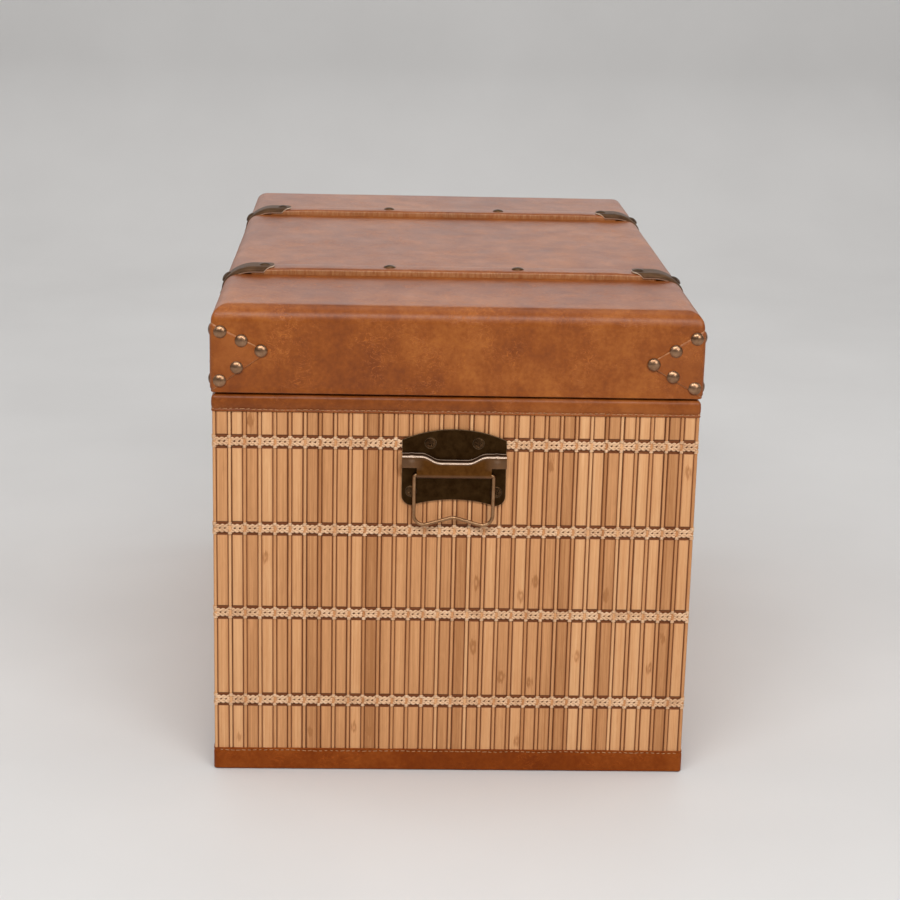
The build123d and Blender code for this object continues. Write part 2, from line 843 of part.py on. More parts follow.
def write_lid():
    """Write every sub-part of the lid."""
    rails = lid_rails()
    for side in side_turns:
        save(f"lid_{side}_rail", rails & mitre_sector(side))
    save("lid_top_board", lid_board())
    save("lid_cover", lid_cover())
    save("lid_lining", *lid_linings())
    save("lid_battens", *[Pos(x, 0, 0) * batten_form(0) for x in (-batten_x, batten_x)])
    save("batten_clamps", *at_battens(batten_clamp()))
    save("clamp_nails", *[nail for one in clamp_nails() for nail in at_battens(one)])
    save("batten_nails", *batten_nails())
    save("corner_patches", *at_corners(corner_patch()))
    save("corner_nails", *[nail for one in patch_nails() for nail in at_corners(one)])


def write_handles():
    """Write the sub-parts of the two end handles."""
    for side in ("right", "left"):
        save(f"{side}_handle_plate", at_handle(handle_plate(), side))
        save(f"{side}_handle_bridge", at_handle(handle_bridge(), side))
        save(f"{side}_bail", at_handle(handle_bail(), side))
        save(f"{side}_handle_screws", *[at_handle(screw, side) for screw in handle_screws()])


def write_hinges():
    """Write the sub-parts of the two stop hinges."""
    body_knuckles = range(0, hinge_knuckle_count, 2)
    lid_knuckles = range(1, hinge_knuckle_count, 2)
    body_leaf = hinge_leaf(body_knuckles, band_half_width, -1, hinge_pin_radius)
    lid_leaf = hinge_leaf(lid_knuckles, lid_half_width, 1, hinge_pin_radius + hinge_pin_play)
    save("hinge_body_leaves", *at_hinges([body_leaf]))
    save("hinge_lid_leaves", *at_hinges([lid_leaf]))
    save("hinge_pins", *at_hinges([hinge_pin()]))
    save("hinge_body_screws", *at_hinges(hinge_screws(band_half_width, -1)))
    save("hinge_lid_screws", *at_hinges(hinge_screws(lid_half_width, 1)))


os.makedirs("parts", exist_ok=True)
write_body()
write_lid()
write_handles()
write_hinges()
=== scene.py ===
import json
import random
from math import copysign, cos, exp, hypot, pi, radians, sin, sqrt, tan

import bmesh
import bpy
from mathutils import Matrix, Vector, geometry, noise


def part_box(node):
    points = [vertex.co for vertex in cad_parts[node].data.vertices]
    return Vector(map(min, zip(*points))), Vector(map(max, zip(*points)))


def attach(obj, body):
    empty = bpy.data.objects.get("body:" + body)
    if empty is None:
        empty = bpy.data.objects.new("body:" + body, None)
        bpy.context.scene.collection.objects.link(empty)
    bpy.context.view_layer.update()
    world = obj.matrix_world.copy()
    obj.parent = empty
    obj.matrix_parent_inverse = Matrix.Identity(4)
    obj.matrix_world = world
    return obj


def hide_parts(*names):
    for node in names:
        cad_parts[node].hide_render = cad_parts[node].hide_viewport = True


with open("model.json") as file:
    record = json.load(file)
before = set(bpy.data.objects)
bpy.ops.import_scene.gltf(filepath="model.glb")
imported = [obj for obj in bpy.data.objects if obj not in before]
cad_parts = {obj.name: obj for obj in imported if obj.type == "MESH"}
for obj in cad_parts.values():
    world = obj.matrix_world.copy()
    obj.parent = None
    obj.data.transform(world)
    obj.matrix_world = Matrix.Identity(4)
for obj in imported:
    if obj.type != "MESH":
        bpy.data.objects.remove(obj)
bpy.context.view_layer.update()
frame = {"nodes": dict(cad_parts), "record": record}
nodes = frame["nodes"]
MM = 0.001

# The photograph's camera: place in metres, turns in radians, focal length and image width in pixels
CAMERA_PLACE = (2.08594, -0.06926, 0.78963)
CAMERA_TURNS = (0.036459, 0.269963, 0.023304)
FOCAL, IMAGE_WIDTH = 2066.43, 900
SENSOR = 36.0


def add_camera():
    """The camera at the photograph's angle."""
    yaw, pitch, roll = CAMERA_TURNS
    forward = Vector((-cos(yaw) * cos(pitch), sin(yaw) * cos(pitch), -sin(pitch)))
    right = Vector((sin(yaw), cos(yaw), 0.0))
    up = right.cross(forward)
    turned_right = right * cos(roll) + up * sin(roll)
    turned_up = up * cos(roll) - right * sin(roll)
    data = bpy.data.cameras.new("camera")
    data.sensor_width = SENSOR
    data.lens = FOCAL / IMAGE_WIDTH * SENSOR
    data.clip_end = 50.0
    camera = bpy.data.objects.new("camera", data)
    turn = Matrix((turned_right, turned_up, -forward)).transposed().to_4x4()
    camera.matrix_world = Matrix.Translation(CAMERA_PLACE) @ turn
    bpy.context.scene.collection.objects.link(camera)
    bpy.context.scene.camera = camera


# Materials
class Maker:
    """Builds one node material, a node at a time. A value is a number, a colour or a node's output."""

    def __init__(self, name):
        self.material = bpy.data.materials.new(name)
        self.material.use_nodes = True
        self.tree = self.material.node_tree
        self.tree.nodes.clear()
        self.shader = self.node("BsdfPrincipled")
        self.node("OutputMaterial", {"Surface": self.shader.outputs[0]})
        self.coordinates = self.node("TexCoord").outputs["Object"]

    def put(self, value, socket):
        if hasattr(value, "is_linked"):
            self.tree.links.new(value, socket)
        else:
            socket.default_value = (*value, 1) if socket.type == "RGBA" else value

    def node(self, kind, values={}, **settings):
        node = self.tree.nodes.new("ShaderNode" + kind)
        for key, setting in settings.items():
            setattr(node, key, setting)
        for key, value in values.items():
            self.put(value, node.inputs[key])
        return node

    def noise(self, scale, detail, rough, distortion=0.0):
        """Noise with one scale, or with a scale for each axis."""
        values = {"Vector": self.coordinates, "Scale": scale, "Detail": detail, "Roughness": rough,
                  "Distortion": distortion}
        if isinstance(scale, tuple):
            mapping = self.node("Mapping", {"Vector": self.coordinates, "Scale": scale})
            values.update({"Vector": mapping.outputs[0], "Scale": 1.0})
        return self.node("TexNoise", values).outputs["Fac"]

    def ramp(self, value, *stops):
        """A colour for each value, from stops of a position between 0 and 1 and a colour."""
        node = self.node("ValToRGB", {0: value})
        elements = node.color_ramp.elements
        for position, colour in stops:
            elements.new(position).color = (*colour, 1)
        elements.remove(elements[0])
        elements.remove(elements[-1])
        return node.outputs[0]

    def span(self, value, low, high, new_low=0.0, new_high=1.0):
        values = {"Value": value, "From Min": low, "From Max": high, "To Min": new_low, "To Max": new_high}
        return self.node("MapRange", values).outputs[0]

    def math(self, operation, first, second=0.0):
        return self.node("Math", {0: first, 1: second}, operation=operation).outputs[0]

    def times(self, first, second):
        return self.math("MULTIPLY", first, second)

    def weigh(self, *parts):
        """The sum of values, each times its share."""
        total = self.times(parts[0][1], parts[0][0])
        for share, value in parts[1:]:
            total = self.math("ADD", total, self.times(value, share))
        return total

    def mix(self, share, first, second):
        return self.node("Mix", {0: share, 6: first, 7: second}, data_type="RGBA").outputs[2]

    def attribute(self, name):
        return self.node("Attribute", attribute_name=name).outputs["Fac"]

    def bumps(self, *layers):
        """A normal bent by layers of height, each with its strength and its depth in metres."""
        below = {}
        for height, strength, depth in layers:
            node = self.node("Bump", {"Height": height, "Strength": strength, "Distance": depth, **below})
            below = {"Normal": node.outputs[0]}
        return below["Normal"]

    def finish(self, colour, roughness, **more):
        values = {"Base Color": colour, "Roughness": roughness, **more}
        for key, value in values.items():
            self.put(value, self.shader.inputs[key.replace("_", " ")])
        return self.material


# Pale tan of the leather's rims: wear on the patches' edges, painted highlight on the battens' upright sides
RUBBED_AND_LIT_TAN = (0.52, 0.27, 0.12)
# Dark red-brown of the mats' edges, gaps and grooves: partly stained edges, partly painted shade where the
# strips meet and where the slats end at the threads
SLAT_EDGE_STAIN_AND_SHADE = (0.160, 0.042, 0.010)


def leather(name, dark, middle, light, rim=False, sheen=0.36):
    """Smooth tan leather: cloudy colour, short fine wrinkles, fine grain and soft unevenness."""
    m = Maker(name)
    tone = m.weigh((0.45, m.noise(7, 5, 0.6, 0.5)), (0.35, m.noise(42, 5, 0.65)), (0.2, m.noise(260, 3, 0.6)))
    colour = m.ramp(tone, (0.4, dark), (0.5, middle), (0.61, light))
    fold = m.noise((85, 85, 150), 3, 0.6, 1.4)
    line = m.span(m.math("ABSOLUTE", m.math("SUBTRACT", fold, 0.5)), 0.0, 0.02, 1.0, 0.0)
    worn = m.times(line, m.span(m.noise(24, 3, 0.5), 0.46, 0.6))
    colour = m.mix(m.times(worn, 0.42), colour, tuple(min(1, 1.8 * c) for c in light))
    # Rims painted pale in patches: worn edges on the patches, painted highlight on the battens' sides
    if rim:
        rim_patchiness = m.span(m.noise((90, 420, 90), 4, 0.6, 0.5), 0.36, 0.64, 0.22, 0.78)
        colour = m.mix(m.times(m.attribute("rim"), rim_patchiness), colour, RUBBED_AND_LIT_TAN)
    cells = m.node("TexVoronoi", {"Vector": m.coordinates, "Scale": 900}, feature="DISTANCE_TO_EDGE")
    normal = m.bumps((cells.outputs["Distance"], 0.12, 0.0004), (m.noise(1400, 2, 0.5), 0.10, 0.0003),
                     (worn, 0.3, 0.0005), (m.noise(90, 4, 0.55), 0.07, 0.001))
    rough = m.span(m.noise(30, 3, 0.5), 0.3, 0.7, 0.37, 0.41)
    return m.finish(colour, rough, Normal=normal, Specular_IOR_Level=sheen)


def bamboo(name, dark, middle, light, knots=True):
    """Split bamboo: fine fibres along the height, a tone for each strip, knots on some, and dark edges that
    are partly stain and partly painted shade.
    """
    m = Maker(name)
    fibre = m.noise((900, 900, 9), 5, 0.65)
    streak = m.noise((260, 260, 5), 3, 0.5)
    mottle = m.noise((330, 330, 45), 4, 0.65, 0.8)
    value = m.weigh((0.32, fibre), (0.22, streak), (0.14, mottle), (0.32, m.attribute("tone")))
    if knots:
        squares = [m.math("POWER", m.times(m.attribute(key), size), 2.0)
                   for key, size in (("knot", 130), ("across", 1.15))]
        far = m.math("ADD", m.math("SQRT", m.math("ADD", *squares)), m.times(mottle, 2.4))
        rings = m.span(m.math("SINE", m.times(far, 5.0)), -1, 1)
        rings = m.times(rings, m.span(far, 1.5, 2.6, 1.0, 0.0))
        value = m.math("SUBTRACT", value, m.times(rings, 0.17))
    colour = m.ramp(value, (0.32, dark), (0.5, middle), (0.71, light))
    # The edge attribute mixes in the dark red-brown: partly stained edges, partly painted shade in the gaps
    # and grooves
    colour = m.mix(m.times(m.attribute("edge"), 0.95), colour, SLAT_EDGE_STAIN_AND_SHADE)
    rough = m.span(streak, 0.3, 0.7, 0.45, 0.6)
    return m.finish(colour, rough, Normal=m.bumps((fibre, 0.25, 0.0003)), Specular_IOR_Level=0.25)


def thread_material(name):
    """Twisted cotton thread."""
    m = Maker(name)
    twist = m.noise(1500, 3, 0.6)
    colour = m.ramp(m.weigh((0.5, twist), (0.5, m.noise(70, 3, 0.5))),
                    (0.3, (0.50, 0.27, 0.145)), (0.5, (0.73, 0.46, 0.27)), (0.7, (0.86, 0.615, 0.415)))
    return m.finish(colour, 0.8, Normal=m.bumps((twist, 0.5, 0.0003)), Specular_IOR_Level=0.15)


def stitch_material(name):
    """Waxed stitching thread, paler than the leather."""
    m = Maker(name)
    twist = m.noise(1800, 2, 0.5)
    colour = m.ramp(twist, (0.35, (0.30, 0.12, 0.04)), (0.65, (0.52, 0.26, 0.12)))
    return m.finish(colour, 0.6, Normal=m.bumps((twist, 0.4, 0.0002)), Specular_IOR_Level=0.3)


def metal(name, dark, light, rough_low, rough_high, scratches=0.3, metallic=1.0, rim=None, streaks=0.0,
          sheen=0.5):
    """Antique plated metal: cloudy tone, fine scratches or streaks, and paler, less metallic rims: wear on
    the plate's edges, painted highlights on the bridge and the clamps.
    """
    m = Maker(name)
    cloud = m.noise(140, 5, 0.65)
    scratch = m.noise((300, 2200, 300), 4, 0.6)
    tone = cloud
    if streaks:
        tone = m.weigh((1 - streaks, cloud), (streaks, m.noise((520, 60, 60), 4, 0.6, 0.4)))
    colour = m.ramp(tone, (0.35, dark), (0.68, light))
    # Rims painted paler and less metallic: worn edges on the plate, painted highlights on the bridge's bends
    # and the clamps' edges
    if rim:
        share = m.attribute("rim")
        colour = m.mix(share, colour, rim)
        metallic = m.span(share, 0.0, 1.0, metallic, 0.35 * metallic)
    rough = m.span(m.weigh((0.6, cloud), (0.4, scratch)), 0.35, 0.65, rough_low, rough_high)
    normal = m.bumps((scratch, 0.06 * scratches, 0.0002), (m.noise(420, 3, 0.5), 0.12 * scratches, 0.0003))
    return m.finish(colour, rough, Metallic=metallic, Normal=normal, Specular_IOR_Level=sheen)


def cloth_material(name, first, second):
    """Thin plain-woven lining cloth."""
    m = Maker(name)
    warp = m.node("TexWave", {"Vector": m.coordinates, "Scale": 420, "Distortion": 0.8},
                  bands_direction="DIAGONAL").outputs["Fac"]
    value = m.weigh((0.5, warp), (0.5, m.noise(900, 3, 0.6)))
    colour = m.ramp(value, (0.3, first), (0.7, second))
    return m.finish(colour, 0.85, Normal=m.bumps((value, 0.35, 0.0003)), Sheen_Weight=0.15)


def wood_material(name, first, second):
    """Plain board: streaky grain and fine pores."""
    m = Maker(name)
    pores = m.noise((160, 900, 900), 3, 0.6)
    grain = m.weigh((0.7, m.noise((12, 60, 60), 5, 0.6, 0.6)), (0.3, pores))
    colour = m.ramp(grain, (0.35, first), (0.65, second))
    return m.finish(colour, 0.6, Normal=m.bumps((pores, 0.2, 0.0003)))


lid_leather = leather("lid_leather", (0.185, 0.039, 0.002), (0.26, 0.062, 0.004), (0.36, 0.103, 0.013))
patch_leather = leather("patch_leather", (0.20, 0.044, 0.003), (0.265, 0.066, 0.006), (0.33, 0.092, 0.013),
                        rim=True)
rim_leather = leather("rim_leather", (0.180, 0.040, 0.003), (0.245, 0.060, 0.006), (0.32, 0.090, 0.014),
                      sheen=0.27)
body_leather = leather("body_leather", (0.165, 0.030, 0.002), (0.21, 0.041, 0.003), (0.27, 0.062, 0.007),
                       sheen=0.1)
batten_hide = leather("batten_leather", (0.20, 0.046, 0.005), (0.27, 0.070, 0.010), (0.35, 0.105, 0.022),
                      rim=True)
slat_bamboo = bamboo("bamboo_slat", (0.39, 0.160, 0.054), (0.635, 0.305, 0.128), (0.83, 0.49, 0.245))
stick_bamboo = bamboo("bamboo_stick", (0.40, 0.16, 0.053), (0.58, 0.265, 0.106), (0.78, 0.435, 0.207), False)
cotton = thread_material("thread")
stitching = stitch_material("stitching")
bronze = metal("bronze", (0.030, 0.013, 0.004), (0.060, 0.030, 0.010), 0.4, 0.55)
plate_bronze = metal("plate_bronze", (0.027, 0.0115, 0.0033), (0.053, 0.026, 0.0084), 0.4, 0.55,
                     rim=(0.30, 0.19, 0.10))
# The bridge's rim colour is a painted highlight on its bends, beads and wings
bridge_bronze = metal("bridge_bronze", (0.098, 0.036, 0.007), (0.150, 0.058, 0.013), 0.3, 0.42,
                      rim=(0.66, 0.50, 0.38))
nail_brass = metal("nail_brass", (0.215, 0.112, 0.058), (0.38, 0.222, 0.130), 0.28, 0.37)
wire_bronze = metal("bail_wire", (0.26, 0.135, 0.062), (0.42, 0.245, 0.13), 0.33, 0.38, 0.05)
screw_bronze = metal("screw_bronze", (0.05, 0.024, 0.010), (0.115, 0.062, 0.028), 0.25, 0.36)
# The clamps' rim colour is a painted highlight along the sheet's edges
clamp_bronze = metal("clamp_bronze", (0.048, 0.020, 0.007), (0.155, 0.080, 0.037), 0.48, 0.6, metallic=0.25,
                     rim=(0.80, 0.66, 0.50), streaks=0.6, sheen=0.15)
clamp_nail_bronze = metal("clamp_nail_bronze", (0.045, 0.021, 0.009), (0.11, 0.058, 0.026), 0.35, 0.45,
                          metallic=0.4, sheen=0.25)
batten_nail_brass = metal("batten_nail_brass", (0.10, 0.050, 0.022), (0.22, 0.125, 0.065), 0.35, 0.45)
lining_cloth = cloth_material("lining", (0.055, 0.035, 0.024), (0.13, 0.09, 0.065))
board_wood = wood_material("board", (0.36, 0.24, 0.13), (0.56, 0.42, 0.27))
# Dark boards behind the mats, seen only through the gaps: partly a dark stain, partly painted shade for the
# gaps
stained_and_shaded_wood = wood_material("stained_and_shaded_board", (0.09, 0.028, 0.009), (0.16, 0.05, 0.016))

# A CAD node takes the material of the first key that its name holds
LOOKS = (
    ("slats", slat_bamboo), ("sticks", stick_bamboo), ("thread_bands", cotton), ("lining", lining_cloth),
    ("lid_top_board", board_wood), ("bottom_board", board_wood), ("rail", board_wood),
    ("board", stained_and_shaded_wood), ("band", body_leather), ("lid_cover", lid_leather),
    ("lid_battens", lid_leather), ("corner_patches", lid_leather), ("nails", nail_brass),
    ("bail", wire_bronze), ("", bronze),
)
for name, node in nodes.items():
    node.data.materials.clear()
    node.data.materials.append(next(material for key, material in LOOKS if key in name))


# Shapes
def unit(value):
    return min(1, max(0, value))


def circle(steps):
    """The cosine and sine of equal turns round a circle."""
    return [(cos(2 * pi * n / steps), sin(2 * pi * n / steps)) for n in range(steps)]


def add_piece(name, points, faces, material, body, slot, replaced=None, flat_angle=None, attributes=None,
              closed=True):
    """A mesh piece that rides on a body and may stand for a CAD node."""
    mesh = bpy.data.meshes.new(name)
    mesh.from_pydata(points, [], faces)
    for key, values in (attributes or {}).items():
        mesh.attributes.new(key, "FLOAT", "POINT").data.foreach_set("value", values)
    if closed:
        build = bmesh.new()
        build.from_mesh(mesh)
        bmesh.ops.recalc_face_normals(build, faces=build.faces)
        build.to_mesh(mesh)
        build.free()
    for face in mesh.polygons:
        face.use_smooth = True
    if flat_angle:
        mesh.set_sharp_from_angle(angle=radians(flat_angle))
    mesh.materials.append(material)
    piece = bpy.data.objects.new(name, mesh)
    bpy.context.scene.collection.objects.link(piece)
    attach(piece, body)
    if replaced:
        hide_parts(replaced)
    return piece


class Heap:
    """Points and faces of many small forms that make one piece."""

    def __init__(self, *keys):
        self.points, self.faces = [], []
        self.values = {key: [] for key in keys}

    def add(self, points, faces, **values):
        start = len(self.points)
        self.points += points
        self.faces += [tuple(start + n for n in face) for face in faces]
        for key, value in values.items():
            self.values[key] += value if isinstance(value, list) else [value] * len(points)

    def piece(self, name, *args, **kwargs):
        return add_piece(name, self.points, self.faces, *args, attributes=self.values, **kwargs)


def grid_faces(rows, columns, closed_rows=False, closed_columns=False, first=0):
    """Quads of a grid whose points are listed row after row."""
    faces = []
    for r in range(rows if closed_rows else rows - 1):
        for c in range(columns if closed_columns else columns - 1):
            low, high = first + r * columns, first + (r + 1) % rows * columns
            after = (c + 1) % columns
            faces.append((low + c, low + after, high + after, high + c))
    return faces


def rounded_loop(half_x, half_y, radius, steps_x, steps_y, corner_steps=6):
    """Points round a rectangle with rounded corners, anticlockwise, each with its outward normal."""
    loop = []
    inner_x, inner_y = half_x - radius, half_y - radius
    for angle, start, end, middle, steps in (
        (0, (half_x, -inner_y), (half_x, inner_y), (inner_x, inner_y), steps_y),
        (90, (inner_x, half_y), (-inner_x, half_y), (-inner_x, inner_y), steps_x),
        (180, (-half_x, inner_y), (-half_x, -inner_y), (-inner_x, -inner_y), steps_y),
        (270, (-inner_x, -half_y), (inner_x, -half_y), (inner_x, -inner_y), steps_x),
    ):
        normal = Vector((cos(radians(angle)), sin(radians(angle))))
        loop += [(Vector(start).lerp(Vector(end), n / steps), normal) for n in range(steps + 1)]
        for n in range(1, corner_steps):
            turn = radians(angle + 90 * n / corner_steps)
            out = Vector((cos(turn), sin(turn)))
            loop.append((Vector(middle) + out * radius, out))
    return loop


def wrapped(profile, half_x, half_y, radius, steps_x, steps_y, wobble, least=0.3 * MM):
    """A profile carried round a rectangle: points, faces and the number of points in a loop."""
    points = []
    for inset, height in profile:
        loop = rounded_loop(half_x - inset, half_y - inset, max(radius - inset, least), steps_x, steps_y)
        for spot, out in loop:
            point = Vector((*spot, height))
            points.append(tuple(point + wobble(point, Vector((*out, 0)), inset)))
    return points, grid_faces(len(profile), len(loop), closed_columns=True), len(loop)


def arc(inset, height, radius, start, end, steps):
    """Profile points on an arc, as (inset, height); angles from the inward direction, upwards."""
    turns = [radians(start + (end - start) * n / steps) for n in range(steps + 1)]
    return [(inset + radius * cos(turn), height + radius * sin(turn)) for turn in turns]


def raised(level, pairs):
    """Profile points in metres, from millimetres inwards and above a level."""
    return [(inset * MM, level + height * MM) for inset, height in pairs]


def place(side, along, distance, height):
    """A point on a side: along it, out from the chest's middle, and up."""
    return {
        "front": (along, -distance, height),
        "right": (distance, along, height),
        "back": (-along, distance, height),
        "left": (-distance, -along, height),
    }[side]


# Measures taken from the frame
def top_of(node):
    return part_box(node)[1]


board_low, board_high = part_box("front_board")
BOX_X, BOX_Y = board_high.x, -board_low.y
mat_low, mat_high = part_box("right_slats")
MAT_LOW, MAT_HIGH = mat_low.z, mat_high.z
MAT = top_of("right_sticks").x - BOX_X
rim_low, rim_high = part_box("rim_band")
RIM_LOW, RIM_TOP = rim_low.z, rim_high.z
BAND_X, BAND_Y = rim_high.x, rim_high.y
BAND = BAND_X - BOX_X - MAT
BASE_TOP = top_of("base_band").z
lid_low, lid_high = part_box("lid_cover")
LID_X, LID_Y = lid_high.x, lid_high.y
LID_BOTTOM, LID_TOP = lid_low.z, lid_high.z
PATCH = top_of("corner_patches").x - LID_X
batten_high = top_of("lid_battens")
BATTEN_WIDTH = 26 * MM
BATTEN_X, BATTEN_END = batten_high.x - BATTEN_WIDTH / 2, batten_high.y
NAIL = top_of("batten_nails").z - batten_high.z
NAIL_RADIUS = 5.75 * MM
SIDES = ("front", "right", "back", "left")
CORNERS = [(sx, sy) for sx in (-1, 1) for sy in (-1, 1)]
chance = random.Random(7)

# Bamboo mats
STICK = 3.2 * MM
PITCH = 13.25 * MM
SLAT = 2.0 * MM
THREADS = [RIM_LOW - drop * MM for drop in (27.0, 107.0, 186.0, 269.5)]
HALF_GROOVE = 6.2 * MM
KNOTTED_SHARE = 0.13
# Half a slat's section, from its foot to its flat face: across, share of the thickness, darkness (partly
# stained edge, partly painted shade in the gap beside it)
SLAT_SECTION = [(1.12, 0.0, 1.0), (1.11, 0.46, 1.0), (1.0, 0.54, 1.0), (0.975, 0.86, 0.6),
                (0.93, 0.96, 0.6), (0.85, 0.99, 0.25), (0.7, 1.0, 0.03)]
# A slat's end: millimetres from it, share of the thickness, darkness (painted shade in the groove under the
# threads, with some stained edge)
SLAT_END = [(0.0, 0.0, 1.0), (0.0, 0.55, 1.0), (0.15, 0.8, 0.7), (0.5, 0.95, 0.12), (1.1, 1.0, 0.0)]


def mat_facts(side):
    """Half the width of a mat, the distance of its boards, the slats' pitch and their number."""
    end = side in ("right", "left")
    span, distance = (2 * (BOX_Y + MAT), BOX_X) if end else (2 * BOX_X, BOX_Y)
    count = round((span - STICK) / PITCH)
    return span / 2, distance, (span - STICK) / count, count


def stick_places(side):
    """The distance of a mat's boards, and how far along it each stick stands."""
    reach, distance, pitch, count = mat_facts(side)
    return distance, [STICK / 2 - reach + pitch * n for n in range(count + 1)]


def slat_form(heap, side, middle, half, distance, low, high, lean, tone, knot, off):
    """One length of slat between two thread bands, with eased edges and rounded ends."""
    section = [(-across, rise, dark) for across, rise, dark in SLAT_SECTION]
    section += [(0.0, 1.0, 0.0)] + SLAT_SECTION[::-1]
    rows = [(low + up * MM, share, dark) for up, share, dark in SLAT_END]
    rows += [(high - up * MM, share, dark) for up, share, dark in SLAT_END[::-1]]
    points, edges, knots, places = [], [], [], []
    for z, share, row_dark in rows:
        for across, rise, dark in section:
            along = middle + across * half + lean * (z - 0.18)
            points.append(place(side, along, distance + SLAT * min(rise, share), z))
            edges.append(max(dark, row_dark))
            knots.append(z - knot if knot else 1.0)
            places.append(across + off)
    heap.add(points, grid_faces(len(rows), len(section)), tone=tone, edge=edges, knot=knots, across=places)


def add_slats(side):
    """The slats of one side: lengths between the thread bands, and a thinner strip under the threads."""
    reach, distance, pitch, count = mat_facts(side)
    heap = Heap("tone", "edge", "knot", "across")
    grooves = [z + rise for z in THREADS[::-1] for rise in (-HALF_GROOVE, HALF_GROOVE)]
    levels = [MAT_LOW, *grooves, MAT_HIGH]
    for number in range(count):
        middle = -reach + STICK / 2 + pitch * (number + 0.5)
        half = (pitch - STICK) / 2 - (0.2 + 0.3 * chance.random()) * MM
        middle += chance.uniform(-0.15, 0.15) * MM
        lean = chance.uniform(-0.0015, 0.0015)
        spread = 0.52 + 0.14 * noise.noise(Vector((middle * 9, distance * 40, 3.1)))
        tone = unit(spread + chance.gauss(0, 0.2))
        depth = chance.uniform(-0.2, 0.0) * MM
        for low, high in zip(levels[::2], levels[1::2]):
            knot = chance.uniform(low + 12 * MM, high - 12 * MM) if chance.random() < KNOTTED_SHARE else 0
            shift = chance.uniform(-0.14, 0.14) * MM
            slat_form(heap, side, middle, half, distance + depth, low - shift, high - shift, lean, tone, knot,
                      chance.uniform(-0.5, 0.5))
        # The strip behind each slat is darker and takes the edge colour: painted shade in the grooves where
        # the threads pass
        floor = distance + 0.55 * MM
        points = [place(side, middle + along, out, z) for z in (MAT_LOW, MAT_HIGH)
                  for along, out in ((-half, distance), (-half, floor), (half, floor), (half, distance))]
        heap.add(points, grid_faces(2, 4, closed_columns=True), tone=max(0, tone - 0.25), edge=0.95, knot=1.0,
                 across=0.0)
    heap.piece(f"{side}_mat_slats", slat_bamboo, "chest", "bamboo_slat", replaced=f"{side}_slats",
               flat_angle=50)


def add_sticks(side):
    """The thin half-round sticks of one side, slightly pinched where the threads bind them."""
    heap = Heap("tone", "edge")
    angles = [radians(a) for a in (180, 170, 155, 130, 90, 50, 25, 10, 0)]
    bound = [z + rise * MM for z in THREADS[::-1] for rise in (-9, -6.5, -4.5, -2.5, 0, 2.5, 4.5, 6.5, 9)]
    heights = [MAT_LOW, *bound, MAT_HIGH]
    sunk = 0.3 * MM
    distance, sticks = stick_places(side)
    for number, along in enumerate(sticks):
        tone = unit(chance.gauss(0.52, 0.2))
        sway = chance.uniform(-0.1, 0.1) * MM
        size = chance.uniform(0.92, 1.0)
        points, edges = [], []
        for z in heights:
            near = min(abs(z - middle) for middle in THREADS)
            pinch = 1 - 0.16 * max(0, 1 - abs(near - 4.5 * MM) / (2.5 * MM))
            middle = along + sway * sin(z * 25 + number)
            for turn in angles:
                out = distance + sunk + (MAT - sunk) * sin(turn) * pinch
                points.append(place(side, middle + STICK / 2 * size * pinch * cos(turn), out, z))
                # The sticks' flanks are painted dark: painted shade in the gaps beside them
                edges.append(1.0 if sin(turn) < 0.2 else 0.45 if sin(turn) < 0.5 else 0.0)
        heap.add(points, grid_faces(len(heights), len(angles)), tone=tone, edge=edges)
    heap.piece(f"{side}_mat_sticks", stick_bamboo, "chest", "bamboo_stick", replaced=f"{side}_sticks")


# Threads
THREAD_STEP = 0.9 * MM
STRAND_RADIUS = 1.12 * MM
KNOT_RISE = 4.35 * MM


def ring(side, along, out, height, wide, tall):
    """Six points round a thread that runs along a side."""
    return [place(side, along, out + wide * a, height + tall * b) for a, b in circle(6)]


def strand_points(side, number, cord, strand):
    """Rings of points along one strand of a cord on one side, dipping behind every stick."""
    reach, distance, pitch, _ = mat_facts(side)
    edge = MAT + (BOX_X if side in ("front", "back") else BOX_Y)
    steps = int(2 * edge / THREAD_STEP)
    points = []
    for n in range(steps):
        along = -edge + 2 * edge * (n + 0.5) / steps
        phase = (along + reach - STICK / 2) / pitch
        near = abs(phase - round(phase)) * pitch
        dip = max(0, 1 - (near / (2.6 * MM)) ** 2) if abs(along) < edge - 4 * MM else 0
        turn = cord * 3 * pi * phase + strand
        shake = noise.noise(Vector((along * 130, number * 7 + strand + cord, distance * 9)))
        corner = 1 - min(1, (edge - abs(along)) / (2.5 * MM))
        out = distance + (1.62 + 0.5 * cos(turn) - 1.2 * dip - 1.1 * corner ** 2) * MM
        high = THREADS[number] + (1.86 * cord + 1.1 * sin(turn) + 0.3 * shake) * MM
        points += ring(side, along, out, high, 0.8 * STRAND_RADIUS, STRAND_RADIUS)
    return points


def add_threads():
    """Two twisted cords in each band, and knots over the sticks."""
    for number in range(len(THREADS)):
        heap = Heap()
        for cord in (1, -1):
            for strand in (0, pi):
                points = [point for side in SIDES for point in strand_points(side, number, cord, strand)]
                heap.add(points, grid_faces(len(points) // 6, 6, closed_rows=True, closed_columns=True))
        heap.piece(f"thread_band_{number + 1}", cotton, "chest", "thread",
                   replaced=None if number else "thread_bands")
    heap = Heap()
    for side in SIDES:
        distance, sticks = stick_places(side)
        for along in sticks:
            for middle in THREADS:
                for rise in (-KNOT_RISE, KNOT_RISE):
                    knot_form(heap, side, along, distance + MAT - 0.55 * MM, middle + rise)
    heap.piece("thread_knots", cotton, "chest", "thread")


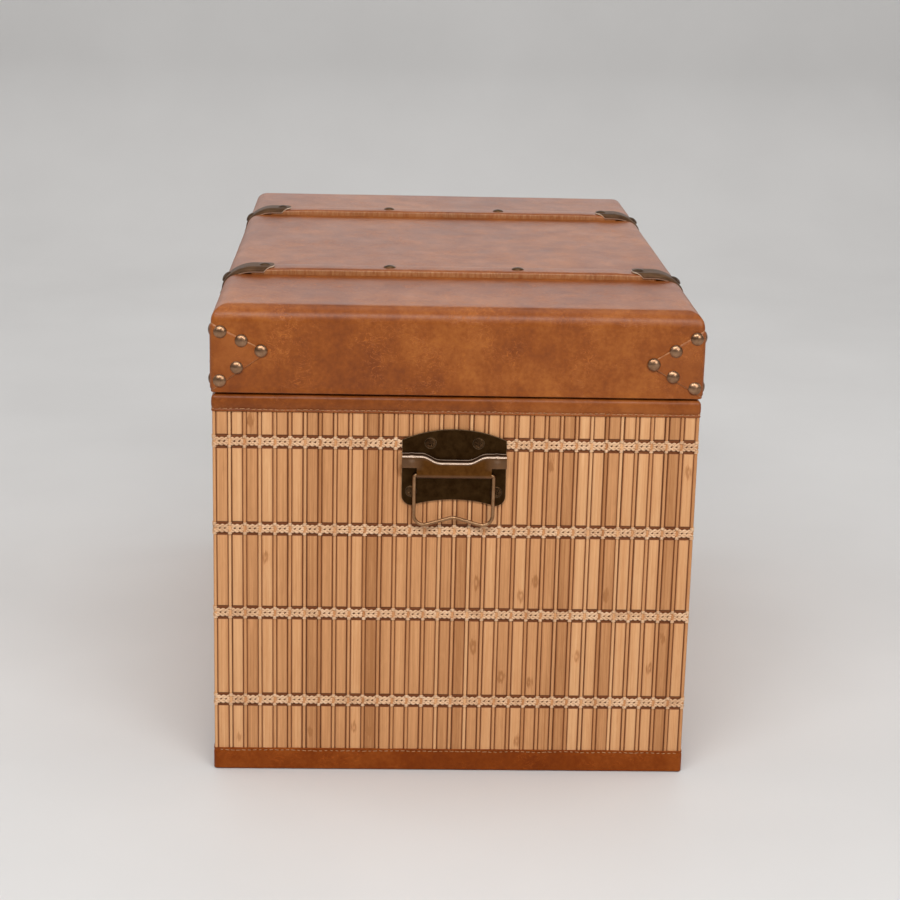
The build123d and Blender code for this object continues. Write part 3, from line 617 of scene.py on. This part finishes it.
def knot_form(heap, side, along, distance, height):
    """A small lump of thread wrapped over a stick: two turns side by side."""
    width = chance.uniform(1.75, 2.1) * MM
    shift = chance.uniform(-0.2, 0.2) * MM
    for turn in (-0.62, 0.62):
        points = []
        for r in range(7):
            across = -1 + r / 3
            size = sqrt(max(0.02, 1 - across * across))
            bow = 1.05 * sqrt(1 - 0.75 * across * across) - 0.2
            points += ring(side, along + shift + across * width, distance + bow * MM,
                           height + (turn + 0.12 * across) * MM, 0.55 * MM * size, 0.72 * MM * size)
        heap.add(points, grid_faces(7, 6, closed_columns=True))


# Leather bands
STITCH_PITCH = 5.0 * MM
BAND_CORNER = 3.4 * MM
BAND_STEPS = 400, 256


def band_wobble(strength, seed, seam):
    """Slight unevenness of a band, stronger at its stitched edge, where the thread gathers the leather."""
    def wobble(point, out, inset):
        if inset > 2 * MM:
            return Vector((0, 0, 0))
        shift = noise.noise(point * 28 + Vector((seed, 0, 0)))
        rise = 0.5 * strength * noise.noise(point * 17 + out * seed)
        near = max(0, 1 - abs(point.z - seam) / (2.4 * MM))
        along = point.y if abs(out.x) > 0.7 else point.x
        gather = cos(2 * pi * along / STITCH_PITCH) * 0.16 * MM + 0.5 * strength * noise.noise(point * 95)
        rise += near * 0.45 * MM * noise.noise(Vector((along * 60, seed, out.x * 3 + out.y)))
        return out * ((shift - 0.45) * strength + near * gather) + Vector((0, 0, rise if point.z > MM else 0))
    return wobble


def add_bands():
    """The rim band, rolled over the boards' top edge, and the base band."""
    thin = BAND / MM
    inner = 2 * thin + MAT / MM + 12
    rim = raised(RIM_LOW, [(inner - thin, 4)])
    rim += raised(RIM_TOP, [(inner - thin, -14), (inner, -14), (inner, -13), (inner, -1.2),
                            *arc(inner - 1.2, -1.2, 1.2, 0, 90, 4), *arc(4.6, -4.6, 4.6, 90, 180, 9),
                            (-0.2, -6.6)])
    rim += raised(RIM_LOW, [(-0.15, 5.4), (0.05, 4.1), (0.38, 3.3), (0.62, 2.75), (0.55, 2.3), (0.1, 1.8),
                            *arc(0.65, 0.85, 0.8, 180, 270, 5), (1.6, 0.1), (1.6, 4)])
    base = raised(BASE_TOP, [(1.6, -4), (1.6, -0.1), *arc(0.75, -0.75, 0.7, 90, 180, 5), (0.1, -1.4),
                             (0.5, -1.85), (0.5, -2.4), (0.15, -3.0), (0, -5)])
    base += raised(0, [(0, 9), (0, 2), *arc(1.1, 1.1, 1.1, 180, 270, 4), (3.5, 0)])
    base += raised(BASE_TOP, [(3.5, -4.2)])
    for band, profile, wobble, material in (
        ("rim", rim, band_wobble(0.35 * MM, 2.0, RIM_LOW + 1.4 * MM), rim_leather),
        ("base", base, band_wobble(0.3 * MM, 5.0, BASE_TOP - 1.0 * MM), body_leather),
    ):
        points, faces, _ = wrapped(profile, BAND_X, BAND_Y, BAND_CORNER, *BAND_STEPS, wobble)
        points = [(x, y, max(0.0, z)) for x, y, z in points]
        add_piece(f"{band}_leather", points, faces, material, "chest", "body_leather",
                  replaced=f"{band}_band")


def add_stitches():
    """The stitched lines of the two bands."""
    heap = Heap()
    for line, seed in ((RIM_LOW + 2.45 * MM, 1), (BASE_TOP - 2.1 * MM, 2)):
        for side in SIDES:
            half, distance = (BAND_X, BAND_Y) if side in ("front", "back") else (BAND_Y, BAND_X)
            count = int(2 * (half - 3 * MM) / STITCH_PITCH)
            for n in range(count):
                along = (n + 0.5 - count / 2) * STITCH_PITCH
                length = chance.uniform(1.2, 2.35) * MM
                tilt = chance.uniform(-0.22, 0.22)
                sink = chance.uniform(0.1, 0.42) * MM
                middle = line + 0.9 * MM * noise.noise(Vector((along * 70, seed, distance)))
                points = []
                for r in range(7):
                    across = -1 + r / 3
                    size = (0.3 + 0.7 * sqrt(max(0.0, 1 - across ** 4))) * 0.42 * MM
                    points += ring(side, along + across * length, distance - sink - 0.45 * MM * across ** 4,
                                   middle + tilt * across * length, size, size)
                heap.add(points, grid_faces(7, 6, closed_columns=True))
    heap.piece("band_stitches", stitching, "chest", "body_leather")


# Lid
COVER_STEPS = 168, 106


def lid_wobble(point, out, inset):
    """Slight unevenness of the leather over its boards: outwards on the sides, up on the top."""
    if point.z < LID_BOTTOM + MM:
        return Vector((0, 0, 0))
    share = unit((LID_TOP - point.z) / (15 * MM))
    wide = noise.noise(point * 9)
    small = noise.noise(point * 33 + Vector((4, 0, 0)))
    amount = (0.55 * wide + 0.25 * small - 0.45) * MM
    return (out * share + Vector((0, 0, 0.25)) * (1 - share)) * amount


def add_lid_cover():
    """The leather over the lid, with its rounded edges and the hem under the rails."""
    profile = raised(LID_BOTTOM, [(10.5, 1.5), (10.5, 0.1), (4, 0.05), *arc(0.9, 0.9, 0.9, 270, 180, 5)])
    profile += raised(LID_BOTTOM, [(0, height) for height in (3, 6, 12, 18, 24, 30, 36, 42, 48, 54, 59)])
    profile += raised(LID_TOP, [*arc(15, -15, 15, 180, 90, 12), *((15 + 6 * n, 0) for n in range(1, 33))])
    points, faces, count = wrapped(profile, LID_X, LID_Y, 4.5 * MM, *COVER_STEPS, lid_wobble, 1.2 * MM)
    faces.append(tuple(range(len(points) - count, len(points))))
    add_piece("lid_leather_cover", points, faces, lid_leather, "lid", "lid_leather", replaced="lid_cover")


def eased(number, count, power):
    """Shares from -1 to 1 that crowd towards both ends."""
    share = -1 + 2 * number / (count - 1)
    return copysign(1 - (1 - abs(share)) ** power, share)


def add_battens():
    """The leather-covered battens: upright sides, rounded edges, closed ends, cracked across their length."""
    rows, columns = 241, 17
    upright = 0.3
    # The lower parts of both upright sides are painted pale through the rim colour: a painted highlight
    column_rims = [0.75, 0.75, 0.95, *[0.0] * 11, 0.95, 0.75, 0.75]
    heap = Heap("rim")
    for sign in (-1, 1):
        points = []
        for r in range(rows):
            y = BATTEN_END * eased(r, rows, 1.1)
            share = sqrt(max(0, 1 - max(0, 1 - (BATTEN_END - abs(y)) / (3.5 * MM)) ** 2))
            pressed = unit((abs(y) - 150 * MM) / (20 * MM))
            height = (6.3 - 0.8 * pressed) * MM
            crack = 0.10 * MM * noise.noise(Vector((sign * 2, y * 330, 0)))
            crack += 0.14 * MM * noise.noise(Vector((1, y * 120, 7)))
            for c in range(columns):
                angle = pi * (1 - c / (columns - 1))
                foot = 0.95 if c in (0, columns - 1) else 1.0
                flat, up = foot * abs(cos(angle)) ** upright, abs(sin(angle)) ** upright
                wide = BATTEN_WIDTH / 2 * copysign(flat, cos(angle)) * (0.94 + 0.06 * share)
                bump = noise.noise(Vector((sign * 3, y * 25, c * 0.2))) * 0.35 * MM * up
                edge = crack * (0.4 + noise.noise(Vector((sign * 9, y * 90, c * 0.5)))) * up
                x = sign * BATTEN_X + wide + copysign(min(0, bump - 0.1 * MM) + edge, wide)
                z = LID_TOP + height * up * share + 0.5 * MM * (up - 1) + (bump - 0.2 * MM) * 0.7 + edge
                points.append((x, y, z))
        heap.add(points, grid_faces(rows, columns), rim=column_rims * rows)
    heap.piece("batten_leather", batten_hide, "lid", "lid_leather", replaced="lid_battens")


# A dome nail from its foot towards its tip: share of the radius, share of the height
DOME = [(1.0, -0.25), (1.0, 0.0), (0.985, 0.12), (0.955, 0.20), (0.89, 0.335), (0.78, 0.505), (0.62, 0.70),
        (0.42, 0.866), (0.2, 0.97)]
DOME_STEPS = 28


def nail_form(heap, matrix, height=NAIL):
    """A dome nail on the XY plane of a matrix, with a thin rim."""
    points = [tuple(matrix @ Vector((NAIL_RADIUS * out * a, NAIL_RADIUS * out * b, height * up)))
              for out, up in DOME for a, b in circle(DOME_STEPS)]
    last, tip = len(points) - DOME_STEPS, len(points)
    points.append(tuple(matrix @ Vector((0, 0, height))))
    faces = grid_faces(len(DOME), DOME_STEPS, closed_columns=True)
    faces += [(last + n, last + (n + 1) % DOME_STEPS, tip) for n in range(DOME_STEPS)]
    heap.add(points, faces)


def facing(direction, at):
    """A matrix whose Z axis points along a direction, at a place."""
    return Matrix.Translation(at) @ Vector(direction).to_track_quat("Z", "Y").to_matrix().to_4x4()


# The patches are set by hand, so each differs. For each corner of the lid, in millimetres: how much higher
# the patch's tips lie than the middle of its fold, and the nails of one face, as distance from the corner
# and height above the lid's foot
PATCHES = {
    (1, -1): (5.4, ((8.7, 54.2), (26.9, 46.5), (43.8, 37.8), (22.8, 22.8), (8.0, 11.0))),
    (1, 1): (-1.0, ((7.4, 54.1), (25.3, 42.8), (44.1, 30.8), (26.8, 20.0), (7.4, 10.0))),
    (-1, -1): (-1.0, ((7.6, 53.0), (25.0, 42.0), (43.6, 31.0), (25.9, 20.4), (8.2, 10.4))),
    (-1, 1): (2.2, ((8.2, 53.4), (26.2, 44.0), (43.9, 33.8), (24.6, 22.0), (7.8, 10.6))),
}


def add_nails():
    """All dome nails of the lid."""
    corner, middle, clamps = Heap(), Heap(), Heap()
    for sx, sy in CORNERS:
        out = PATCH - 0.25 * MM
        for along, up in PATCHES[sx, sy][1]:
            back, z = along * MM, LID_BOTTOM + up * MM
            nail_form(corner, facing((sx, 0, 0), (sx * (LID_X + out), sy * (LID_Y - back), z)), 2.8 * MM)
            nail_form(corner, facing((0, sy, 0), (sx * (LID_X - back), sy * (LID_Y + out - 0.6 * MM), z)))
        x = sx * BATTEN_X
        nail_form(middle, facing((0, 0, 1), (x, sy * 60 * MM, LID_TOP + 6.3 * MM)), 2.1 * MM)
        back, lean, out = (38.6, radians(40), 16.1) if sy < 0 else (41.4, radians(56), 16.4)
        nail_form(clamps, facing((0, 0, 1), (x, sy * (LID_Y - back * MM), LID_TOP + 6.7 * MM)), 2.2 * MM)
        spot = (x, sy * (LID_Y + (out * cos(lean) - 15) * MM), LID_TOP + (out * sin(lean) - 15) * MM)
        nail_form(clamps, facing((0, sy * cos(lean), sin(lean)), spot))
    corner.piece("corner_dome_nails", nail_brass, "lid", "nail_brass", replaced="corner_nails")
    middle.piece("batten_dome_nails", batten_nail_brass, "lid", "nail_brass", replaced="batten_nails")
    clamps.piece("clamp_dome_nails", clamp_nail_bronze, "lid", "bronze", replaced="clamp_nails")


def add_patches():
    """The leather patches folded round the lid's corners, with eased edges."""
    reach, half_height = 48.7 * MM, 30 * MM
    middle = LID_BOTTOM + 31.5 * MM
    radius, tip = 4.5 * MM, 5 * MM
    half_fold = radius * pi / 4
    columns, rows = 73, 17
    heap = Heap("rim")
    for sx, sy in CORNERS:
        points, rims = [], []
        for c in range(columns):
            s = reach * eased(c, columns, 1.35)
            from_tip = reach - abs(s)
            half = half_height * from_tip / reach + 0.2 * MM
            if from_tip < tip:
                half = min(half + MM, 0.62 * sqrt(max(0, tip ** 2 - (tip - from_tip) ** 2)))
            for r in range(rows):
                v = eased(r, rows, 1.5)
                edge = min(half * (1 - abs(v)), from_tip)
                lift = PATCH * sqrt(max(0, 1 - max(0, 1 - edge / (0.9 * MM)) ** 2))
                if r in (0, rows - 1) or c in (0, columns - 1):
                    lift = -0.4 * MM
                lift += 0.12 * MM * noise.noise(Vector((s * 60 + sx * 5, v * 2 + sy * 3, 1)))
                if abs(s) > half_fold:
                    run = abs(s) - half_fold + radius
                    x, y = (-run, lift) if s > 0 else (lift, -run)
                else:
                    turn = (s + half_fold) / radius
                    x, y = (radius + lift) * cos(turn) - radius, (radius + lift) * sin(turn) - radius
                z = middle + half * v + PATCHES[sx, sy][0] * MM * abs(s) / reach
                points.append((sx * (LID_X + x), sy * (LID_Y + y), z))
                rims.append(1.0 if edge < 0.5 * MM else 0.0)
        heap.add(points, grid_faces(columns, rows), rim=rims)
    heap.piece("corner_leather_patches", patch_leather, "lid", "lid_leather", replaced="corner_patches")


# Clamps, in millimetres from the lid's side and above its top
CLAMP_TIP, CLAMP_TAIL = -47.4, -19.6
CLAMP_RISE = 5.8
CLAMP_BEND = 15.0
CLAMP_HALF = 15.0
CLAMP_FLAT = 10.2
# Half across a clamp: share of its half width, share of its skirt's drop
CLAMP_SECTION = [(1.0, 1.0), (1.0, 0.5), (1.0, 0.0), (0.93, 0.0), (0.84, 0.0), (0.7, 0.0), (0.5, 0.0),
                 (0.25, 0.0)]


def clamp_path():
    """The strap's inner line from tip to tail: distance from the lid's side, height, angle of its normal."""
    bend = CLAMP_BEND
    turn = radians(45)
    wide = (CLAMP_RISE + bend - bend * sin(turn)) / (1 - sin(turn))
    middle, low = -bend - (wide - bend) * cos(turn), -bend - (wide - bend) * sin(turn)
    bends = [(middle, low, wide, 90 - 45 * n / 12) for n in range(13)]
    bends += [(-bend, -bend, bend, 45 - 45 * n / 10) for n in range(1, 11)]
    made = [(CLAMP_TIP + (middle - CLAMP_TIP) * n / 12, CLAMP_RISE, 90.0) for n in range(12)]
    made += [(x + radius * cos(radians(angle)), z + radius * sin(radians(angle)), angle)
             for x, z, radius, angle in bends]
    return made + [(0.6, -16.2, 0.0), (1.3, -18.0, 0.0), (1.9, CLAMP_TAIL, 0.0)]


def clamp_half_width(distance, height):
    """Half the clamp's width: a pointed tip, the full width, and a tapered tail."""
    tip = 3.2 + 11.8 * unit((distance - CLAMP_TIP) / 9.5) ** 0.5
    tail = 7.0 + 8.0 * unit((height - CLAMP_TAIL) / 10.0) ** 0.75
    return min(CLAMP_HALF, tip, tail)


def clamp_face(sx, sy, section, lift, drawn_in):
    """Points of one face of a clamp, so far off its inner line and drawn in at its sides."""
    points = []
    for distance, height, angle in clamp_path():
        half = clamp_half_width(distance, height)
        nx, nz = cos(radians(angle)), sin(radians(angle))
        skirt = 1.1 * unit((half - 10) / 5)
        if distance >= -26:
            skirt = max(0.25, 1.1 - 0.85 * (distance + 26) / 14)
        for across, share in section:
            x = across * half
            crown = max(0, min(abs(x), 14.8) - CLAMP_FLAT)
            up = lift - (5 - sqrt(25 - crown ** 2)) - share * skirt
            x -= copysign(drawn_in * crown / (14.8 - CLAMP_FLAT), x)
            points.append((sx * BATTEN_X + x * MM, sy * (LID_Y + (distance + nx * up) * MM),
                           LID_TOP + (height + nz * up) * MM))
    return points


def add_clamps():
    """The bent metal clamps over the ends of the battens."""
    section = [(-across, share) for across, share in CLAMP_SECTION] + [(0.0, 0.0)] + CLAMP_SECTION[::-1]
    rows, columns = len(clamp_path()), len(section)
    border = [*range(columns), *(r * columns + columns - 1 for r in range(1, rows)),
              *((rows - 1) * columns + c for c in range(columns - 2, -1, -1)),
              *(r * columns for r in range(rows - 2, 0, -1))]
    heap = Heap("rim")
    for sx, sy in CORNERS:
        outer, inner = clamp_face(sx, sy, section, 1.2, 0.0), clamp_face(sx, sy, section, 0.1, 1.05)
        faces = grid_faces(rows, columns)
        faces += [tuple(len(outer) + n for n in reversed(face)) for face in faces]
        heap.add(outer + inner, faces, rim=0.0)
        # Painted highlight on the sheet's edges
        heap.add([face[n] for face in (outer, inner) for n in border],
                 grid_faces(2, len(border), closed_columns=True), rim=1.0)
    heap.piece("batten_clamp_straps", clamp_bronze, "lid", "bronze", replaced="batten_clamps", flat_angle=40)


# End handles: drawn for the right end, as distance out, along from the handle's middle, and height
joints = {joint["child"]: Vector(joint["pos_m"]) for joint in frame["record"]["behaviour"]["joints"]}
pivot = joints["right_bail"]
plate_low, plate_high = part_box("right_handle_plate")
bridge_low, bridge_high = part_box("right_handle_bridge")
PLATE_FRONT, PLATE_LOW = plate_high.x, plate_low.z
BRIDGE_FRONT, BRIDGE_LOW, BRIDGE_TOP = bridge_high.x, bridge_low.z, bridge_high.z
# The plate's screws, in millimetres along and above the plate's foot
PLATE_SCREWS = [(sign * y, z) for sign in (-1, 1) for y, z in ((21.1, 57.3), (37.6, 13.0))]
HOLE_RADIUS = 4.85


def at_end(side, points):
    """Points of a handle placed on the right end, or turned half round for the left end."""
    turn = 1 if side == "right" else -1
    return [(turn * x, turn * (y + pivot.y), z) for x, y, z in points]


def inset_loop(loop, amount):
    """A closed loop of 2-D points moved to its left, which is inwards for an anticlockwise loop."""
    made = []
    for n, point in enumerate(loop):
        before = (point - loop[n - 1]).normalized()
        after = (loop[(n + 1) % len(loop)] - point).normalized()
        left = Vector((-before.y - after.y, before.x + after.x)).normalized()
        made.append(point + left * amount / max(0.4, left.dot(Vector((-before.y, before.x)))))
    return made


def slab(loops, thick, ease):
    """A flat sheet with eased front edges: points as (along, height, out), faces and rubbed rims."""
    rings = [(0.0, -thick, 0), (0.0, -ease, 0.1)]
    rings += [(ease * (1 - cos(a)), ease * (sin(a) - 1), rim)
              for a, rim in ((0.5, 0.3), (1.05, 0.4), (pi / 2, 0.15))]
    rings.append((ease + 0.3 * MM, 0.0, 0))
    points, faces, rims, tops = [], [], [], []
    for loop in loops:
        faces += grid_faces(len(rings), len(loop), closed_columns=True, first=len(points))
        for inset, out, rim in rings:
            points += [(p.x, p.y, out) for p in inset_loop(loop, inset)]
            rims += [rim] * len(loop)
        tops.append(range(len(points) - len(loop), len(points)))
    index = [n for top in tops for n in top]
    front = geometry.tessellate_polygon([[Vector(points[n]) for n in top] for top in tops])
    return points, faces + [tuple(index[n] for n in face) for face in front], rims


def bow(reach, rise, base, steps):
    """Points on a shallow arc over a level, from left to right."""
    radius = (reach ** 2 + rise ** 2) / (2 * rise)
    spots = [reach * (2 * n / steps - 1) for n in range(steps + 1)]
    return [(y, base + rise - radius + sqrt(radius ** 2 - y ** 2)) for y in spots]


def plate_loops():
    """The plate's outline and, clockwise, its four screw holes."""
    outline = [*bow(46, 9.8, 60, 30)[::-1], *arc(-37, 9, 9, 180, 270, 10), *bow(37, 5.6, 0, 24)[1:-1],
               *arc(37, 9, 9, 270, 360, 10)]
    holes = [[(y + HOLE_RADIUS * a, z - HOLE_RADIUS * b) for a, b in circle(32)] for y, z in PLATE_SCREWS]
    return [[Vector((y * MM, z * MM)) for y, z in loop] for loop in [outline, *holes]]


# A screw's head from its foot towards its middle: share of the radius, share of the height
SCREW_HEAD = [(1.0, -0.5), (1.0, 0.05), (0.975, 0.3), (0.92, 0.5), (0.8, 0.68), (0.66, 0.82), (0.6, 0.86),
              (0.54, 0.9), (0.48, 0.93), (0.42, 0.95), (0.36, 0.97), (0.3, 0.98), (0.24, 0.99), (0.18, 1.0),
              (0.12, 1.0), (0.06, 1.0)]
SCREW_STEPS = 48


def screw_form(heap, matrix, radius, height, turned):
    """A raised countersunk head with a cross recess, on the XY plane of a matrix."""
    matrix = matrix @ Matrix.Rotation(turned, 4, "Z")
    points = []
    for out, up in SCREW_HEAD:
        for a, b in circle(SCREW_STEPS):
            thin, long = sorted((abs(out * a), abs(out * b)))
            deep = unit((0.17 - thin) / 0.05) * unit((0.6 - long) / 0.12) if up > 0.5 else 0
            spot = Vector((radius * out * a, radius * out * b, height * (up - 1.5 * deep)))
            points.append(tuple(matrix @ spot))
    faces = grid_faces(len(SCREW_HEAD), SCREW_STEPS, closed_columns=True)
    faces.append(tuple(range(len(points) - SCREW_STEPS, len(points))))
    heap.add(points, faces)


def top_edge(y):
    """The height of the bridge's ledge: level wings and a dip in the middle, with soft bends."""
    drops = [unit((26 * MM - abs(y + shift * MM)) / (11 * MM)) for shift in (-3, -1.5, 0, 1.5, 3)]
    return BRIDGE_TOP - 6 * MM * sum(drops) / 5


WING_EDGE = 33 * MM
WING_ROWS = 14
BEAD_PLACE = 37.6 * MM
BRIDGE_BACK = 0.75 * MM


def bridge_section(y):
    """The bridge's outer face at one place along it, from lip to foot: rows of (out, height, painted
    highlight).
    """
    top, wing, foot = top_edge(y), BRIDGE_TOP - 11.3 * MM, BRIDGE_LOW
    from_bead = abs(y) - BEAD_PLACE
    bead = 0.75 * MM * exp(-(from_bead / (1.7 * MM)) ** 2)
    rows = []
    # Painted highlight along the bend at the back of the ledge
    for n, rim in enumerate((0.5, 0.8, 0.5, 0.1)):
        a, b = 1 - cos(radians(30 * n)), 1 - sin(radians(30 * n))
        rows.append((PLATE_FRONT + (0.4 + 1.3 * a) * MM, top + 1.3 * b * MM + bead * (0.32 + 0.16 * n), rim))
    rows.append(((PLATE_FRONT + BRIDGE_FRONT) / 2 - 0.5 * MM, top - 0.15 * MM + 0.8 * bead, 0.0))
    # Painted highlight along the front bend
    for n, rim in enumerate((0.15, 0.6, 1.0, 0.9, 0.35, 0.05)):
        a, b = cos(radians(90 - 18 * n)), sin(radians(90 - 18 * n))
        rows.append((BRIDGE_FRONT - 1.9 * (1 - a) * MM + bead * a,
                     top - (0.3 + 1.9 * (1 - b)) * MM + 0.8 * bead * b, rim))
    start = top - 2.2 * MM
    # Painted highlight on the wings beside the beads and towards their outer ends
    for share in (0.25, 0.5, 0.75, 1.0):
        rim = 0.32 * exp(-(from_bead / (3.6 * MM)) ** 2) * (1 - share) ** 1.6
        rim = max(rim, 0.09 * unit((abs(y) - 26 * MM) / (10 * MM)))
        rows.append((BRIDGE_FRONT + bead * (1 - 0.6 * share), start + (wing - start) * share, rim))
    rows += [(BRIDGE_FRONT, wing + (foot + 4.6 * MM - wing) * share, 0.0) for share in (0.5, 1.0)]
    # Painted highlight on the bottom bend, where it catches light from the floor
    for n, rim in enumerate((0.08, 0.12, 0.16, 0.16), start=1):
        a, b = 1 - cos(radians(22.5 * n)), 1 - sin(radians(22.5 * n))
        rows.append((BRIDGE_FRONT - 4.4 * a * MM, foot + 4.4 * b * MM, rim))
    rows.append((PLATE_FRONT + 0.1 * MM, foot, 0.0))
    return rows


def bridge_grid():
    """The bridge's outer face as rows down its section and columns along it; its wings end above its foot."""
    columns = [n * MM for n in range(-46, 47)]
    sections = [bridge_section(y) for y in columns]
    rows, wide = len(sections[0]), len(columns)
    points = [(section[r][0] - BRIDGE_BACK, y, section[r][1])
              for r in range(rows) for y, section in zip(columns, sections)]
    rims = [section[r][2] for r in range(rows) for section in sections]
    faces = []
    for r in range(rows - 1):
        for c in range(wide - 1):
            if r < WING_ROWS or abs(columns[c] + columns[c + 1]) / 2 < WING_EDGE:
                corner = r * wide + c
                faces.append((corner, corner + wide, corner + wide + 1, corner + 1))
    return points, faces, rims


def filleted(corners, radii):
    """A route through 2-D corners with rounded bends."""
    route = [Vector(corners[0])]
    for before, corner, after, radius in zip(corners, corners[1:], corners[2:], radii):
        corner = Vector(corner)
        back, forth = (Vector(before) - corner).normalized(), (Vector(after) - corner).normalized()
        half = back.angle(forth) / 2
        middle = corner + (back + forth).normalized() * radius / sin(half)
        start = corner + back * radius / tan(half) - middle
        end = corner + forth * radius / tan(half) - middle
        route += [middle + start.lerp(end, n / 10).normalized() * radius for n in range(11)]
    return route + [Vector(corners[-1])]


WIRE_RADIUS = 1.6 * MM
WIRE_STEPS = 16


def bail_form(side):
    """The wire bail as a smooth round wire."""
    slope = 7.6 / 26
    corner = pivot.z - (45.5 + 9 * (slope + hypot(1, slope) - 1)) * MM
    reach, end = 35 * MM, 26 * MM
    half = [(end, pivot.z), (reach, pivot.z), (reach, corner)]
    corners = half + [(0, corner + slope * reach)] + [(-y, z) for y, z in half[::-1]]
    route = filleted(corners, [radius * MM for radius in (2, 9, 10, 9, 2)])
    points = []
    for n, spot in enumerate(route):
        along = (route[min(len(route) - 1, n + 1)] - route[max(0, n - 1)]).normalized()
        for a, b in circle(WIRE_STEPS):
            cross = spot + Vector((-along.y, along.x)) * a * WIRE_RADIUS
            points.append((pivot.x + WIRE_RADIUS * b, cross.x, cross.y))
    faces = grid_faces(len(route), WIRE_STEPS, closed_columns=True)
    faces += [tuple(range(WIRE_STEPS)), tuple(range(len(points) - WIRE_STEPS, len(points)))]
    add_piece(f"{side}_wire_bail", at_end(side, points), faces, wire_bronze, f"{side}_bail", "bail_wire",
              replaced=f"{side}_bail", flat_angle=60)


def add_handles():
    """Plate, bridge, screws and bail of both ends."""
    for side, turn in (("right", 1), ("left", -1)):
        flat, faces, rims = slab(plate_loops(), 1.2 * MM, 0.35 * MM)
        points = [(PLATE_FRONT + out, y, PLATE_LOW + z) for y, z, out in flat]
        add_piece(f"{side}_back_plate", at_end(side, points), faces, plate_bronze, "chest", "bronze",
                  replaced=f"{side}_handle_plate", flat_angle=60, attributes={"rim": rims})
        points, faces, rims = bridge_grid()
        bridge = add_piece(f"{side}_pressed_bridge", at_end(side, points), faces, bridge_bronze, "chest",
                           "bronze", replaced=f"{side}_handle_bridge", attributes={"rim": rims},
                           closed=False)
        sheet = bridge.modifiers.new("sheet", "SOLIDIFY")
        sheet.thickness = 1.0 * MM
        sheet.offset = -1
        ease = bridge.modifiers.new("ease", "BEVEL")
        ease.width, ease.segments, ease.limit_method, ease.angle_limit = 0.25 * MM, 2, "ANGLE", radians(60)
        heap = Heap()
        for y, z in PLATE_SCREWS:
            spot = at_end(side, [(PLATE_FRONT + 0.05 * MM, y * MM, PLATE_LOW + z * MM)])[0]
            screw_form(heap, facing((turn, 0, 0), spot), 4.75 * MM, 0.75 * MM, chance.uniform(0, 1.5))
        heap.piece(f"{side}_plate_screws", screw_bronze, "chest", "bronze", replaced=f"{side}_handle_screws",
                   flat_angle=60)
        bail_form(side)


def add_hinge_screws():
    """Round heads over the hinge leaves' screw holes."""
    for leaf, face, rise, body in (("body", BAND_Y, -9.5, "chest"), ("lid", LID_Y, 9.5, "lid")):
        heap = Heap()
        for x in (-222, -178, 178, 222):
            spot = (x * MM, face + 1.22 * MM, joints["lid"].z + rise * MM)
            screw_form(heap, facing((0, 1, 0), spot), 2.75 * MM, 0.5 * MM, chance.uniform(0, 1.5))
        heap.piece(f"hinge_{leaf}_screw_heads", screw_bronze, body, "bronze", replaced=f"hinge_{leaf}_screws",
                   flat_angle=60)


# Stage: a plain pale floor and backdrop, soft light
FLOOR_HALF_WIDTH = 5.0
FLOOR_DROP = 0.5 * MM
# Each light's name, place, target, size and power
LIGHTS = (
    ("key", (2.1, -1.3, 2.2), (0.1, 0, 0.25), (1.0, 1.0), 18),
    ("fill", (2.3, 1.4, 1.5), (0.1, 0, 0.2), (1.0, 1.0), 20),
    ("strip", (2.2, 0.0, 2.35), (0.1, 0, 0.3), (1.8, 0.25), 33),
    ("top", (-0.4, 0.0, 3.0), (0, 0, 0.2), (2.4, 2.4), 18),
    ("back", (-2.6, 0.0, 1.1), (0, 0, 0.5), (3.4, 0.9), 8.5),
    ("side", (-0.5, -2.6, 1.6), (0, 0, 0.25), (2.0, 1.2), 14),
    ("side", (-0.5, 2.6, 1.6), (0, 0, 0.25), (2.0, 1.2), 14),
)


def add_floor():
    """A floor that bends up into a backdrop."""
    turns = [radians(7.5 * n) for n in range(13)]
    line = [(3.5, 0.0), *((-2.0 - sin(turn), 1.0 - cos(turn)) for turn in turns), (-3.0, 4.0)]
    points = [(x, y, z - FLOOR_DROP) for x, z in line for y in (-FLOOR_HALF_WIDTH, FLOOR_HALF_WIDTH)]
    mesh = bpy.data.meshes.new("floor")
    mesh.from_pydata(points, [], grid_faces(len(line), 2))
    for face in mesh.polygons:
        face.use_smooth = True
    m = Maker("floor")
    colour = m.ramp(m.noise(3, 3, 0.5), (0.3, (0.68, 0.67, 0.66)), (0.7, (0.72, 0.71, 0.70)))
    mesh.materials.append(m.finish(colour, 0.6))
    floor = bpy.data.objects.new("floor", mesh)
    bpy.context.scene.collection.objects.link(floor)


def add_light(name, spot, target, size, power):
    """A rectangular light that faces its target."""
    data = bpy.data.lights.new(name, "AREA")
    data.shape = "RECTANGLE"
    data.size, data.size_y = size
    data.energy = power
    light = bpy.data.objects.new(name, data)
    light.location = spot
    light.rotation_euler = (Vector(target) - Vector(spot)).to_track_quat("-Z", "Y").to_euler()
    bpy.context.scene.collection.objects.link(light)


def add_stage():
    """Floor, lights and a weak warm surrounding light."""
    add_floor()
    for light in LIGHTS:
        add_light(*light)
    world = bpy.data.worlds.new("world")
    world.use_nodes = True
    background = world.node_tree.nodes["Background"]
    background.inputs[0].default_value = (1.0, 0.98, 0.96, 1)
    background.inputs[1].default_value = 0.22
    bpy.context.scene.world = world
    bpy.context.scene.view_settings.view_transform = "Standard"


add_camera()
add_stage()
for one in SIDES:
    add_slats(one)
    add_sticks(one)
add_threads()
add_bands()
add_stitches()
add_lid_cover()
add_battens()
add_patches()
add_nails()
add_clamps()
add_handles()
add_hinge_screws()
